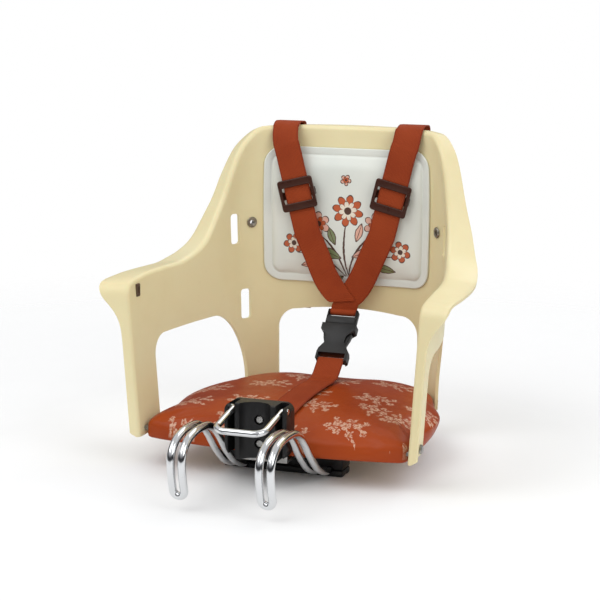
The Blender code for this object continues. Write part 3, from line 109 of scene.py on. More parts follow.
def sum_of(tree, operation, *values):
    """One Math node; returns its output."""
    return put(tree, "ShaderNodeMath", dict(enumerate(values)), operation=operation).outputs[0]


def vector_of(tree, operation, *values):
    """One Vector Math node; returns its vector."""
    return put(tree, "ShaderNodeVectorMath", dict(enumerate(values)), operation=operation).outputs[0]


def parts_of(tree, vector):
    """The three parts of a vector."""
    return put(tree, "ShaderNodeSeparateXYZ", {0: vector}).outputs


def stretch(tree, value, low=0.0, high=1.0, first=0.0, last=1.0):
    """A value carried straight from low..high to first..last, and held at those ends."""
    return put(tree, "ShaderNodeMapRange", {0: value, 1: low, 2: high, 3: first, 4: last}).outputs[0]


def noise(tree, place, scale, detail, roughness=0.5, output=0):
    """Cloudy noise over a place, as a number or as a colour."""
    return put(tree, "ShaderNodeTexNoise", {"Vector": place, "Scale": scale, "Detail": detail,
                                            "Roughness": roughness}).outputs[output]


def ramp(tree, factor, *stops):
    """A colour ramp through (position, colour) stops; returns its colour."""
    new = put(tree, "ShaderNodeValToRGB", {"Fac": factor})
    new.color_ramp.elements.remove(new.color_ramp.elements[1])
    for number, (position, colour) in enumerate(stops):
        stop = new.color_ramp.elements[0] if number == 0 else new.color_ramp.elements.new(position)
        stop.position = position
        stop.color = (*colour, 1.0)
    return new.outputs["Color"]


def mixed(tree, factor, first, second, how="MIX"):
    """First colour turning into the second as factor goes from 0 to 1."""
    new = put(tree, "ShaderNodeMix", {0: factor}, data_type="RGBA", blend_type=how)
    for socket, value in ((new.inputs[6], first), (new.inputs[7], second)):
        if isinstance(value, bpy.types.NodeSocket):
            tree.links.new(value, socket)
        else:
            socket.default_value = (*value, 1.0)
    return new.outputs[2]


world = bpy.data.worlds.new("studio_room")
scene.world = world
world.use_nodes = True
room_tree = world.node_tree
room_tree.nodes.clear()
direction = put(room_tree, "ShaderNodeTexCoord").outputs["Generated"]
height_share = stretch(room_tree, parts_of(room_tree, direction)["Z"], -1.0, 1.0)
walls = ramp(room_tree, height_share, (0.0, (0.50, 0.50, 0.50)), (0.45, (0.30, 0.30, 0.30)),
             (0.52, (0.03, 0.03, 0.035)), (0.60, (0.07, 0.07, 0.075)), (0.70, (0.42, 0.42, 0.44)),
             (0.82, (0.95, 0.95, 0.97)), (1.0, (0.80, 0.80, 0.80)))
path_of_light = put(room_tree, "ShaderNodeLightPath").outputs
mirrored = put(room_tree, "ShaderNodeBackground", {"Color": walls, "Strength": 0.85})
soft_light = put(room_tree, "ShaderNodeBackground", {"Color": (0.84, 0.85, 0.87, 1), "Strength": 0.87})
plain = put(room_tree, "ShaderNodeBackground", {"Color": (1.0, 1.0, 1.0, 1), "Strength": 1.0})
blend = soft_light
for ray, seen in (("Is Glossy Ray", mirrored), ("Is Camera Ray", plain)):
    blend = put(room_tree, "ShaderNodeMixShader", {0: path_of_light[ray], 1: blend.outputs[0],
                                                   2: seen.outputs[0]})
put(room_tree, "ShaderNodeOutputWorld", {"Surface": blend.outputs[0]})


def finish(name, colour, roughness=0.5, normal=None, **sockets):
    """A material from one Principled shader. Colour, roughness and normal may be sockets of its tree."""
    material = bpy.data.materials.get(name) or bpy.data.materials.new(name)
    material.use_nodes = True
    shader = material.node_tree.nodes["Principled BSDF"]
    sockets.update({"Base Color": colour, "Roughness": roughness})
    if normal is not None:
        sockets["Normal"] = normal
    for socket, value in sockets.items():
        socket = shader.inputs[socket.replace("_", " ")]
        if isinstance(value, bpy.types.NodeSocket):
            material.node_tree.links.new(value, socket)
        else:
            socket.default_value = (*value, 1.0) if isinstance(value, tuple) and len(value) == 3 else value
    return material


def blank(name):
    """Starts a material; returns its node tree and the seat's own coordinates."""
    material = bpy.data.materials.new(name)
    material.use_nodes = True
    return material.node_tree, put(material.node_tree, "ShaderNodeTexCoord").outputs["Object"]


floor_half = 3.0
floor_tree, floor_place = blank("studio_floor")
floor_colour = ramp(floor_tree, noise(floor_tree, floor_place, 3.0, 4.0), (0.3, (0.86, 0.86, 0.86)),
                    (0.7, (0.89, 0.89, 0.885)))
floor_mesh = bpy.data.meshes.new("studio_floor")
floor_corners = [(sx * floor_half, sy * floor_half, 0) for sx, sy in ((-1, -1), (1, -1), (1, 1), (-1, 1))]
floor_mesh.from_pydata(floor_corners, [], [(0, 1, 2, 3)])
floor = bpy.data.objects.new("studio_floor", floor_mesh)
from_seat = put(floor_tree, "ShaderNodeVectorMath", {0: floor_place}, operation="LENGTH").outputs["Value"]
fading = stretch(floor_tree, from_seat, 0.30, 0.95, 1.0, 0.0)
floor_mesh.materials.append(finish("studio_floor", floor_colour, 0.8, Alpha=fading, Specular_IOR_Level=0.1))
scene.collection.objects.link(floor)
floor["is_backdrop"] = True


# Seat shell. One moulding of cream plastic, 2.6 mm thick: a wall that runs round the seat in plan, four
# legs left between its windows, and a lip folded outwards along the whole free edge. The belt slots and
# windows go right through it. Its legs are screwed to the edge of the board under the cushion.

leg_front, back_depth = -0.005, 0.193
side_radius, corner_radius = 0.600, 0.045
front_half, arm_height, back_height = 0.118, 0.1325, 0.2495
shell_wall, fold, corner_round = 0.0026, 0.004, 0.008
datum_depth, datum_height = 0.035, 0.026
armrest_spread, spread_power, spread_ease, spread_ease_height = 0.009, 4, 35.0, 0.155
end_angle = np.arcsin((back_depth - leg_front - corner_radius) / (side_radius - corner_radius))
side_run = side_radius * end_angle
arc_run = corner_radius * (np.pi / 2 - end_angle)
back_run = front_half - side_radius * (1 - np.cos(end_angle)) - corner_radius * np.cos(end_angle)
half_run = side_run + arc_run + back_run


def room(x, depth, height):
    """Seat place (across, back from the leg fronts, up from the feet) to world place."""
    x, depth, height = np.broadcast_arrays(x, depth, height)
    return np.stack([x, depth - datum_depth, height + datum_height], -1).astype(float)


def unit(vectors):
    """Each vector divided by its length."""
    return vectors / np.linalg.norm(vectors, axis=-1, keepdims=True)


def curve_through(xs, ys, x):
    """Monotone cubic curve through given points, read at x."""
    xs, ys = np.asarray(xs, float), np.asarray(ys, float)
    steps = np.diff(xs)
    rises = np.diff(ys) / steps
    slopes = np.zeros_like(ys)
    product, total = rises[:-1] * rises[1:], rises[:-1] + rises[1:]
    slopes[1:-1] = np.where(product > 0, 2 * product / np.where(total == 0, 1, total), 0)
    i = np.clip(np.searchsorted(xs, x) - 1, 0, len(steps) - 1)
    t = (x - xs[i]) / steps[i]
    return ((1 + 2 * t) * (1 - t) ** 2 * ys[i] + t * (1 - t) ** 2 * steps[i] * slopes[i]
            + t * t * (3 - 2 * t) * ys[i + 1] + t * t * (t - 1) * steps[i] * slopes[i + 1])


def on_wall(across, height, inset=0.0):
    """Inner face of the wall at a distance across from the middle of the back, measured along the plan
    (600 mm bow, 45 mm corner, straight back), moved inwards by inset. The wall leans out with height,
    and less again above 155 mm. Returns world places and outward directions."""
    across, height, inset = np.broadcast_arrays(np.asarray(across, float), height, inset)
    side = np.where(across < 0, -1.0, 1.0)
    run = half_run - np.abs(across)
    bend = end_angle + (run - side_run) / corner_radius
    angle = np.where(run <= side_run, run / side_radius, np.minimum(bend, np.pi / 2))
    on_side, on_back = run <= side_run, run > side_run + arc_run
    x = np.where(on_side, front_half - side_radius * (1 - np.cos(angle)),
                 back_run + corner_radius * np.cos(angle))
    x = np.where(on_back, half_run - run, x)
    depth = np.where(on_side, leg_front + side_radius * np.sin(angle),
                     back_depth - corner_radius + corner_radius * np.sin(angle))
    eased = height - spread_ease * np.maximum(0.0, height - spread_ease_height) ** 2
    lean = armrest_spread * eased / arm_height * (1 - (np.maximum(depth, 0.0) / back_depth) ** spread_power)
    out = np.stack([side * np.cos(angle), np.sin(angle), np.zeros_like(angle)], -1)
    return room(side * (x + lean), depth, height) - out * inset[..., None], out


def surface(name, grids, body, smooth=40.0, close=()):
    """One mesh from grids of places, (flip, array of rows x columns x 3), joined where they meet. Names
    in close hold rows to fill with one face. Normals follow columns x rows, or the other way if flipped."""
    places, faces, start = [], [], 0
    for flip, grid in grids:
        rows, columns = grid.shape[:2]
        index = start + np.arange(rows * columns).reshape(rows, columns)
        quads = np.stack([index[:-1, :-1], index[:-1, 1:], index[1:, 1:], index[1:, :-1]], -1).reshape(-1, 4)
        faces += (quads[:, ::-1] if flip else quads).tolist()
        places.append(grid.reshape(-1, 3))
        start += rows * columns
    for row in close:
        places.append(row)
        faces.append(list(range(start, start + len(row))))
        start += len(row)
    mesh = bpy.data.meshes.new(name)
    mesh.from_pydata(np.concatenate(places), [], faces)
    bm = bmesh.new()
    bm.from_mesh(mesh)
    bmesh.ops.remove_doubles(bm, verts=bm.verts, dist=0.000012)
    bmesh.ops.dissolve_degenerate(bm, dist=0.000008, edges=bm.edges)
    bm.to_mesh(mesh)
    bm.free()
    mesh.shade_smooth()
    mesh.set_sharp_from_angle(angle=np.radians(smooth))
    piece = bpy.data.objects.new(name, mesh)
    scene.collection.objects.link(piece)
    if body:
        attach(piece, body)
    return piece


def modify(piece, kind, **settings):
    """Adds a modifier with its settings."""
    step = piece.modifiers.new(kind.lower(), kind)
    for name, value in settings.items():
        setattr(step, name, value)
    return step


def settle(piece, smooth=40.0):
    """Turns the piece's modifiers into plain mesh."""
    bpy.context.view_layer.update()
    mesh = bpy.data.meshes.new_from_object(piece.evaluated_get(bpy.context.evaluated_depsgraph_get()))
    old = piece.data
    piece.modifiers.clear()
    piece.data = mesh
    bpy.data.meshes.remove(old)
    mesh.shade_smooth()
    mesh.set_sharp_from_angle(angle=np.radians(smooth))


def prism(outline, shift):
    """Rows of a closed prism: an outline (n x 3) carried by shift, for use as a cutter."""
    outline = np.asarray(outline, float)
    closed = np.vstack([outline, outline[:1]])
    return [(False, np.stack([closed, closed + shift]))], [outline[::-1], outline + shift]


def face_outwards(piece):
    """Turns every face of a closed piece outwards."""
    bm = bmesh.new()
    bm.from_mesh(piece.data)
    bmesh.ops.recalc_face_normals(bm, faces=bm.faces)
    bm.to_mesh(piece.data)
    bm.free()


def cut(piece, shapes):
    """Takes closed shapes, each (grids, end faces), out of a piece."""
    grids = sum([shape[0] for shape in shapes], [])
    ends = sum([shape[1] for shape in shapes], [])
    tool = surface("cutter", grids, None, close=ends)
    face_outwards(tool)
    modify(piece, "BOOLEAN", object=tool, operation="DIFFERENCE", solver="EXACT")
    settle(piece)
    bpy.data.objects.remove(tool, do_unlink=True)


def rounded(centre, radius, start, end, steps, reach=None):
    """Points of a round corner, or of an elliptical one: centre + (radius cos a, reach sin a)."""
    angle = np.linspace(start, end, steps + 1)
    return np.stack([centre[0] + radius * np.cos(angle), centre[1] + (reach or radius) * np.sin(angle)], -1)


arm_lip_width = 0.0255
lip_steps = (0.0, 0.12, 0.25, 0.36, 0.44, 0.525, 0.613, 0.704, 0.783, 1.0)
lip_width_shares = (1.0, 1.06, 1.09, 1.085, 1.05, 0.865, 0.60, 0.54, 0.57, 0.54)
lip_droop_shares = (0.0, 0.26, 0.36, 0.43, 0.57, 0.82, 0.73, 0.49, 0.20, 0.0)
ridge_steps = (0.0, 0.159, 0.330, 0.420, 0.480, 0.573, 0.652, 0.710, 0.770, 0.850, 1.0)
ridge_rise_shares = (0.0, 0.026, 0.030, 0.072, 0.140, 0.434, 0.876, 0.984, 0.993, 0.998, 1.0)
leg_lip_width, leg_lip_growth, leg_sweep, lip_droop = 0.0095, 0.016, np.radians(-17), np.radians(23)
growth_below_arm, growth_height, forward_sweep = 0.0023, 0.020, 0.30


def lip_reach(share):
    """Width of the lip at a share of the way from the armrest's front to the middle of the back."""
    return arm_lip_width * curve_through(lip_steps, lip_width_shares, share)


def shell_surface():
    """Wall: for each column across the plan, rows from the foot to the fold. Lip: along the free edge,
    a quarter bend of 4 mm and then a flat flange whose width and droop vary along the edge. On a leg the
    flange grows wider towards the armrest, by a bell curve of the height."""
    turn = np.linspace(0, np.pi / 2, 9)
    runs = np.concatenate([fold + corner_round * (1 - np.cos(turn)),
                           np.linspace(fold + corner_round, side_run, 56)[1:],
                           np.linspace(side_run, side_run + arc_run, 27)[1:],
                           np.linspace(side_run + arc_run, half_run, 20)[1:]])
    rise = curve_through(ridge_steps, ridge_rise_shares, runs / half_run)
    ridge = arm_height + (back_height - arm_height) * rise
    top = ridge - fold
    top[:9] = arm_height - fold - corner_round + corner_round * np.sin(turn)
    across = np.concatenate([runs - half_run, (half_run - runs)[::-1][1:]])
    top = np.concatenate([top, top[::-1][1:]])
    rows = np.concatenate([np.linspace(0, 0.03, 4)[:-1], np.linspace(0.03, 1, 42)])
    wall, _ = on_wall(across[None, :], rows[:, None] * top[None, :])
    edge_across = np.concatenate([np.full(len(rows), across[0]), across[1:-1], np.full(len(rows), across[-1])])
    edge_height = np.concatenate([rows * top[0], top[1:-1], rows[::-1] * top[-1]])
    place, out = on_wall(edge_across, edge_height)
    inward = unit(np.cross(out, np.gradient(place, axis=0)))
    run = half_run - np.abs(edge_across)
    share = np.clip((run - fold) / (half_run - fold), 0, 1)
    near = np.exp(-((arm_height - growth_below_arm - edge_height) / growth_height) ** 2)
    corner = np.clip((run - fold) / corner_round, 0, 1)
    width = (leg_lip_width + leg_lip_growth * near) * (1 - corner) + corner * lip_reach(share)
    width *= np.minimum(1, 0.45 + edge_height / 0.006)
    droop = (leg_sweep * (1 - near) * (1 - corner)
             + corner * lip_droop * curve_through(lip_steps, lip_droop_shares, share))
    forward = near * (1 - corner) + corner * np.maximum(0, 1 - share / 0.12)
    angle = (np.pi / 2 + droop)[:, None] * np.linspace(0, 1, 8)[None, :]
    bend = place[:, None] + fold * (out[:, None] * (1 - np.cos(angle))[..., None]
                                    - inward[:, None] * np.sin(angle)[..., None])
    heading = out * np.cos(droop)[:, None] + inward * np.sin(droop)[:, None]
    heading[:, 1] -= forward_sweep * forward
    reach = (width - fold)[:, None] * np.linspace(0, 1, 8)[None, :]
    flange = bend[:, -1:] + heading[:, None] * reach[..., None]
    return wall, np.concatenate([bend, flange[:, 1:]], axis=1)


def wall_slot(across, height, width, length, corner):
    """A rounded slot square through the wall."""
    middle, out = on_wall(across, height)
    side = np.cross((0, 0, 1.0), out)
    half, tall = width / 2 - corner, length / 2 - corner
    outline = np.concatenate([rounded((sx * half, sy * tall), corner, start, start + np.pi / 2, 4)
                              for sx, sy, start in ((1, 1, 0), (-1, 1, np.pi / 2), (-1, -1, np.pi),
                                                    (1, -1, 1.5 * np.pi))])
    outline = middle + outline[:, :1] * side + outline[:, 1:] * np.array((0, 0, 1.0)) - out * 0.01
    return prism(outline, out * 0.024)


def across_at(angle):
    """Distance across from the middle of the back to the place in the corner where the wall has turned
    by an angle."""
    return half_run - side_run - (np.radians(angle) - end_angle) * corner_radius


wall, lip = shell_surface()
shell = surface("shell_moulding", [(False, wall), (True, lip)], "seat")
modify(shell, "SOLIDIFY", thickness=shell_wall, offset=-1.0, use_even_offset=True)
modify(shell, "BEVEL", width=0.0008, segments=2, limit_method="ANGLE", angle_limit=np.radians(60))
settle(shell)
belt_slot_width, belt_slot_length, belt_slot_corner = 0.0105, 0.028, 0.0030
eyelet_angle, eyelet_height, eyelet_hole, eyelet_hole_corner = 41, 0.160, 0.0066, 0.00328
cut_foot = -0.02
side_window = np.concatenate([[(0.171, cut_foot), (0.0355, cut_foot)],
                              rounded((0.0535, 0.0615), 0.018, np.pi, np.pi / 2, 14),
                              rounded((0.131, 0.0165), 0.040, np.pi / 2, 0.0, 22, 0.063)])
rear_corner = rounded((0.0495, 0.061), 0.018, 0.0, np.pi / 2, 14)
rear_arch = np.linspace(0.0495, -0.0495, 13)[1:-1]
rear_window = np.concatenate([[(-0.0675, cut_foot), (0.0675, cut_foot)], rear_corner,
                              np.stack([rear_arch, 0.083 - 0.004 * (rear_arch / 0.0495) ** 2], -1),
                              rear_corner[::-1] * (-1, 1)])
cuts = [prism(room(-0.2, side_window[:, 0], side_window[:, 1]), (0.4, 0, 0)),
        prism(room(rear_window[:, 0], 0.172, rear_window[:, 1]), (0, 0.05, 0))]
cuts += [wall_slot(side * across_at(angle), height, belt_slot_width, belt_slot_length, belt_slot_corner)
         for side in (1, -1) for angle, height in ((19.5, 0.155), (31, 0.0845))]
cuts += [wall_slot(side * across_at(eyelet_angle), eyelet_height, eyelet_hole, eyelet_hole, eyelet_hole_corner)
         for side in (1, -1)]
cut(shell, cuts)


def effect(name, inputs, outputs):
    """Starts a shader node group shared by several materials; returns its tree and its input sockets."""
    tree = bpy.data.node_groups.new(name, "ShaderNodeTree")
    for socket, kind, value in inputs:
        new = tree.interface.new_socket(socket, in_out="INPUT", socket_type="NodeSocket" + kind)
        if value is not None:
            new.default_value = value
    for socket, kind in outputs:
        tree.interface.new_socket(socket, in_out="OUTPUT", socket_type="NodeSocket" + kind)
    return tree, put(tree, "NodeGroupInput").outputs


def use(tree, group, **values):
    """Places a shared effect in a material with its own values; returns its outputs."""
    new = put(tree, "ShaderNodeGroup", node_tree=bpy.data.node_groups[group])
    for name, value in values.items():
        socket = new.inputs[name.replace("_", " ")]
        if isinstance(value, bpy.types.NodeSocket):
            tree.links.new(value, socket)
        else:
            socket.default_value = (*value, 1.0) if isinstance(value, tuple) and len(value) == 3 \
                and socket.type == "RGBA" else value
    return new.outputs


# How moulded plastic differs from place to place: slow clouds of tone, fine specks and a very fine skin.
tree, given = effect("moulded_tone", [("Place", "Vector", None), ("Clean", "Color", (0.5, 0.5, 0.5, 1)),
                                      ("Aged", "Color", (0.4, 0.4, 0.4, 1)), ("Clouds", "Float", 9.0),
                                      ("Skin", "Float", 900.0)],
                     [("Tone", "Color"), ("Smudge", "Float"), ("Relief", "Float")])
clouds = stretch(tree, noise(tree, given["Place"], given["Clouds"], 5.0, 0.6), 0.35, 0.72)
specks = stretch(tree, noise(tree, given["Place"], 260.0, 3.0), 0.62, 0.78, 0.0, 0.35)
aged = sum_of(tree, "MAXIMUM", clouds, specks)
put(tree, "NodeGroupOutput", {"Tone": mixed(tree, aged, given["Clean"], given["Aged"]), "Smudge": clouds,
                              "Relief": noise(tree, given["Place"], given["Skin"], 2.0)})


def bumped(tree, height, strength, depth):
    """A normal tilted by a height that varies over the surface."""
    return put(tree, "ShaderNodeBump", {"Height": height, "Strength": strength, "Distance": depth}).outputs[0]


tree, place = blank("cream_plastic")
tone = use(tree, "moulded_tone", Place=place, Clean=(0.765, 0.685, 0.415), Aged=(0.70, 0.60, 0.335),
           Clouds=7.0, Skin=700.0)
relief = sum_of(tree, "ADD", sum_of(tree, "MULTIPLY", tone["Relief"], 0.10), noise(tree, place, 28.0, 1.0))
relief = bumped(tree, relief, 0.10, 0.002)
gloss = stretch(tree, tone["Smudge"], 0.0, 1.0, 0.34, 0.46)
shell.data.materials.append(finish("cream_plastic", tone["Tone"], gloss, relief, Subsurface_Weight=0.06,
                                   Subsurface_Scale=0.004, Specular_IOR_Level=0.4))
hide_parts("seat_shell")


# Metal trim and armrest inserts. A rolled eyelet in each rear corner, its barrel through the wall, and a
# small brown plastic plug let into each armrest near its front edge.

def lathe(name, profile, middle, out, body="seat", steps=40, smooth=40.0):
    """A (radius, height) profile turned round the line through middle along out."""
    profile = np.asarray(profile, float)
    out = unit(np.asarray(out, float))
    side = unit(np.cross((0.0, 0.001, 1.0) if abs(out[2]) < 0.9 else (1.0, 0.0, 0.0), out))
    other = np.cross(out, side)
    angle = np.linspace(0, 2 * np.pi, steps + 1)[None, :, None]
    radius, height = profile[:, 0][:, None, None], profile[:, 1][:, None, None]
    grid = middle + radius * (side * np.cos(angle) + other * np.sin(angle)) + out * height
    return surface(name, [(False, grid)], body, smooth)


def with_round_corners(profile):
    """A profile given as (radius, height, corner radius): each corner with a radius becomes a quadratic
    curve of 6 points that leaves and joins the sides at that distance from the corner."""
    points = np.asarray(profile, float)
    corners = [points[:1, :2]]
    for before, point, after in zip(points, points[1:], points[2:]):
        reach = point[2]
        if reach <= 0:
            corners.append(point[None, :2])
            continue
        first = point[:2] + unit(before[:2] - point[:2]) * reach
        last = point[:2] + unit(after[:2] - point[:2]) * reach
        t = np.linspace(0, 1, 6)[:, None]
        corners.append((1 - t) ** 2 * first + 2 * t * (1 - t) * point[:2] + t ** 2 * last)
    return np.concatenate(corners + [points[-1:, :2]])


def moulded(name, clean, aged, clouds, skin, strength, gloss, depth=0.0003, **sockets):
    """A finish whose tone, gloss and skin vary by the moulded_tone effect: skin bumps of a strength, and
    gloss as one roughness, or as the roughness of clean and of smudged spots."""
    tree, place = blank(name)
    tone = use(tree, "moulded_tone", Place=place, Clean=clean, Aged=aged, Clouds=clouds, Skin=skin)
    roughness = stretch(tree, tone["Smudge"], 0.0, 1.0, *gloss) if isinstance(gloss, tuple) else gloss
    return finish(name, tone["Tone"], roughness, bumped(tree, tone["Relief"], strength, depth), **sockets)


nickel = moulded("dull_nickel", (0.46, 0.43, 0.38), (0.20, 0.16, 0.12), 240.0, 2500.0, 0.25, (0.28, 0.52),
                 Metallic=1.0)
eyelet_profile = with_round_corners([(0.0022, 0.0041, 0), (0.0028, 0.0044, 0.0003), (0.0050, 0.0041, 0.0004),
                                     (0.0050, 0.0030, 0), (0.0031, 0.0030, 0), (0.0031, -0.0008, 0),
                                     (0.0050, -0.0008, 0.0002), (0.0046, -0.0016, 0.0003),
                                     (0.0022, -0.0014, 0.0003), (0.0022, 0.0041, 0)])
for number, side in ((1, 1), (2, -1)):
    middle, out = on_wall(side * across_at(eyelet_angle), eyelet_height)
    eyelet = lathe("rolled_eyelet_%d" % number, eyelet_profile, middle, out)
    eyelet.data.materials.append(nickel)
    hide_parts("side_eyelet_%d" % number)

insert_wide, insert_tall, insert_corner, insert_inset, insert_height = 0.0062, 0.0108, 0.0009, 0.018, 0.1235
insert_plastic = moulded("insert_plastic", (0.10, 0.055, 0.028), (0.055, 0.03, 0.017), 200.0, 3000.0, 0.3, 0.55,
                         depth=0.0002)


def round_box(wide, tall, corner, steps=8, straight=6):
    """Closed outline of a rounded rectangle, with even steps along its straight sides."""
    arcs = [rounded((sx * (wide / 2 - corner), sy * (tall / 2 - corner)), corner, start * np.pi / 2,
                    (start + 1) * np.pi / 2, steps)
            for sx, sy, start in ((1, 1, 0), (-1, 1, 1), (-1, -1, 2), (1, -1, 3))]
    outline = []
    for arc, after in zip(arcs, arcs[1:] + arcs[:1]):
        t = np.linspace(0, 1, straight + 1)[1:-1, None]
        outline += [arc, arc[-1:] * (1 - t) + after[:1] * t]
    return np.concatenate(outline + [outline[0][:1]])


for number, side in ((1, 1), (2, -1)):
    middle, out = on_wall(side * (half_run - insert_inset), insert_height)
    sideways = np.cross((0, 0, 1.0), out)
    outline = round_box(insert_wide, insert_tall, insert_corner)
    across_plug = outline[:, :1] * sideways + outline[:, 1:] * np.array((0, 0, 1.0))
    levels = ((0.0, -0.0004), (0.55, -0.0004), (0.62, -0.0010), (0.90, -0.0012), (1.0, -0.0009), (1.0, 0.0036),
              (0.92, 0.0039), (0.60, 0.0038), (0.0, 0.0038))
    grid = np.stack([middle + share * across_plug + out * lift for share, lift in levels])
    plug = surface("armrest_plug_%d" % number, [(False, grid)], "seat", 35.0)
    plug.data.materials.append(insert_plastic)
    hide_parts("armrest_insert_%d" % number)


# Cushion. Rust-coloured vinyl with a small printed pattern of white sprigs, drawn tight over foam and
# turned in under the edge of a plywood board. Its sides swell out between the legs. Cloth simulation
# blows the cover up a little against the foam's crown, with the hem held fast.

cushion_gap, cushion_front, cushion_bow, cushion_bulge = 0.0012, 0.0115, 0.0105, 0.009
cushion_front_reach, cushion_front_corner, bulge_start = 0.104, 0.011, 0.0355
cushion_back = back_depth - cushion_gap
cushion_centre = (cushion_back - cushion_front) / 2
cushion_edge, cushion_peak, crown_power, slack = 0.010, 0.0295, 2.2, 0.0012
hem_inset, hem_low, board_gap, board_top = 0.014, -0.0012, 0.0001, 0.0103


def round_trip(points, count):
    """Closed smooth curve (Catmull-Rom on chord length) through points, read at even steps."""
    points = np.asarray(points, float)
    wrapped = np.vstack([points[-2:], points, points[:3]])
    chord = np.concatenate([[0], np.cumsum(np.linalg.norm(np.diff(wrapped, axis=0), axis=1))])
    slope = np.gradient(wrapped, chord, axis=0)
    s = np.linspace(chord[2], chord[2 + len(points)], count, endpoint=False)
    i = np.clip(np.searchsorted(chord, s, side="right") - 1, 0, len(chord) - 2)
    span = (chord[i + 1] - chord[i])[:, None]
    t = ((s - chord[i])[:, None]) / span
    return ((1 + 2 * t) * (1 - t) ** 2 * wrapped[i] + t * (1 - t) ** 2 * span * slope[i]
            + t * t * (3 - 2 * t) * wrapped[i + 1] + t * t * (t - 1) * span * slope[i + 1])


def cushion_plan(count, swell):
    """Plan of the cushion: front bowed by 10.5 mm, sides 1.2 mm inside the shell and swelling by up to
    9 mm x swell between the legs, round rear corners."""
    x = np.linspace(0, cushion_front_reach, 7)
    front = np.stack([x, cushion_bow * (x / cushion_front_reach) ** 2 - cushion_front], -1)
    depth = np.linspace(cushion_front_corner, leg_front + side_radius * np.sin(end_angle), 9)
    side_x = front_half - side_radius + np.sqrt(side_radius ** 2 - (depth - leg_front) ** 2)
    inside = np.clip((depth - bulge_start) / (depth[-1] - bulge_start), 0, 1)
    side_x = side_x - cushion_gap + cushion_bulge * swell * np.sin(np.pi * inside) ** 2
    front_side = cushion_bow - cushion_front
    corner = [(0.25 * cushion_front_reach + 0.75 * side_x[0], 0.75 * front_side + 0.25 * cushion_front_corner)]
    rear = rounded((back_run, back_depth - corner_radius), corner_radius - cushion_gap, end_angle,
                   np.pi / 2, 6)[1:]
    half = np.concatenate([front, corner, np.stack([side_x, depth], -1), rear,
                           [(back_run / 2, cushion_back), (0, cushion_back)]])
    return round_trip(np.concatenate([half, (half * (-1, 1))[-2:0:-1]]), count)


def inside_of(plan, inset):
    """A closed plan drawn in by a distance, square to itself."""
    along = unit(np.roll(plan, -1, axis=0) - np.roll(plan, 1, axis=0))
    return plan + np.stack([-along[:, 1], along[:, 0]], -1) * inset


def crown(share):
    """Height of the cushion's top at a share of the way from its middle to its edge: it falls from the
    peak as the square root of 1 - share to the power 2.2."""
    return cushion_edge + (cushion_peak - cushion_edge) * np.sqrt(np.maximum(0, 1 - share ** crown_power))


def ringed(rings):
    """One closed grid from (plan, height) rings."""
    grid = np.stack([room(plan[:, 0], plan[:, 1], height) for plan, height in rings])
    return np.concatenate([grid, grid[:, :1]], axis=1)


def cover_surface(count=200):
    """Rings from the hem under the board, given as (swell, inset, height), round the edge, and then up
    the crown to the middle, each a smaller copy of the widest one."""
    edge = ((0.0, hem_inset, hem_low), (0.1, 0.007, -0.0013), (0.3, 0.0022, -0.0012), (0.38, 0.0007, -0.0006),
            (0.47, 0.0, 0.0008), (0.62, 0.0, 0.003), (0.85, 0.0, 0.0062), (1.0, 0.0, 0.0095))
    rings = [(inside_of(cushion_plan(count, swell), inset), height) for swell, inset, height in edge]
    full = cushion_plan(count, 1.0)
    middle = np.array((0.0, cushion_centre))
    for share in [*np.sin(np.linspace(np.pi / 2, 0.0, 34))[1:-1], 0.0]:
        rings.append((middle + (full - middle) * share, float(crown(share)) - slack * (1 - share)))
    return ringed(rings)


def pocket_surface(count=200):
    """Inside of the cover: from the hem over the board's edge and top to the middle, where the foam lies."""
    middle = np.array((0.0, cushion_centre))
    hem, edge = (inside_of(cushion_plan(count, 0.0), inset) for inset in (hem_inset, 0.0013))
    rings = [(hem, hem_low), (hem, -board_gap), ((hem + edge) / 2, -board_gap), (edge, -board_gap),
             (edge, 0.005), (edge, board_top)]
    rings += [(middle + (edge - middle) * share, board_top) for share in (0.8, 0.5, 0.2, 0.0)]
    return ringed(rings)


def points_of(piece):
    """Places of a piece's points, n x 3."""
    spots = np.empty(3 * len(piece.data.vertices))
    piece.data.vertices.foreach_get("co", spots)
    return spots.reshape(-1, 3)


def weld(piece, other):
    """Adds another piece's mesh to a piece, joined where they meet."""
    bm = bmesh.new()
    bm.from_mesh(piece.data)
    bm.from_mesh(other.data)
    bmesh.ops.remove_doubles(bm, verts=bm.verts, dist=0.00002)
    bm.to_mesh(piece.data)
    bm.free()
    bpy.data.objects.remove(other, do_unlink=True)


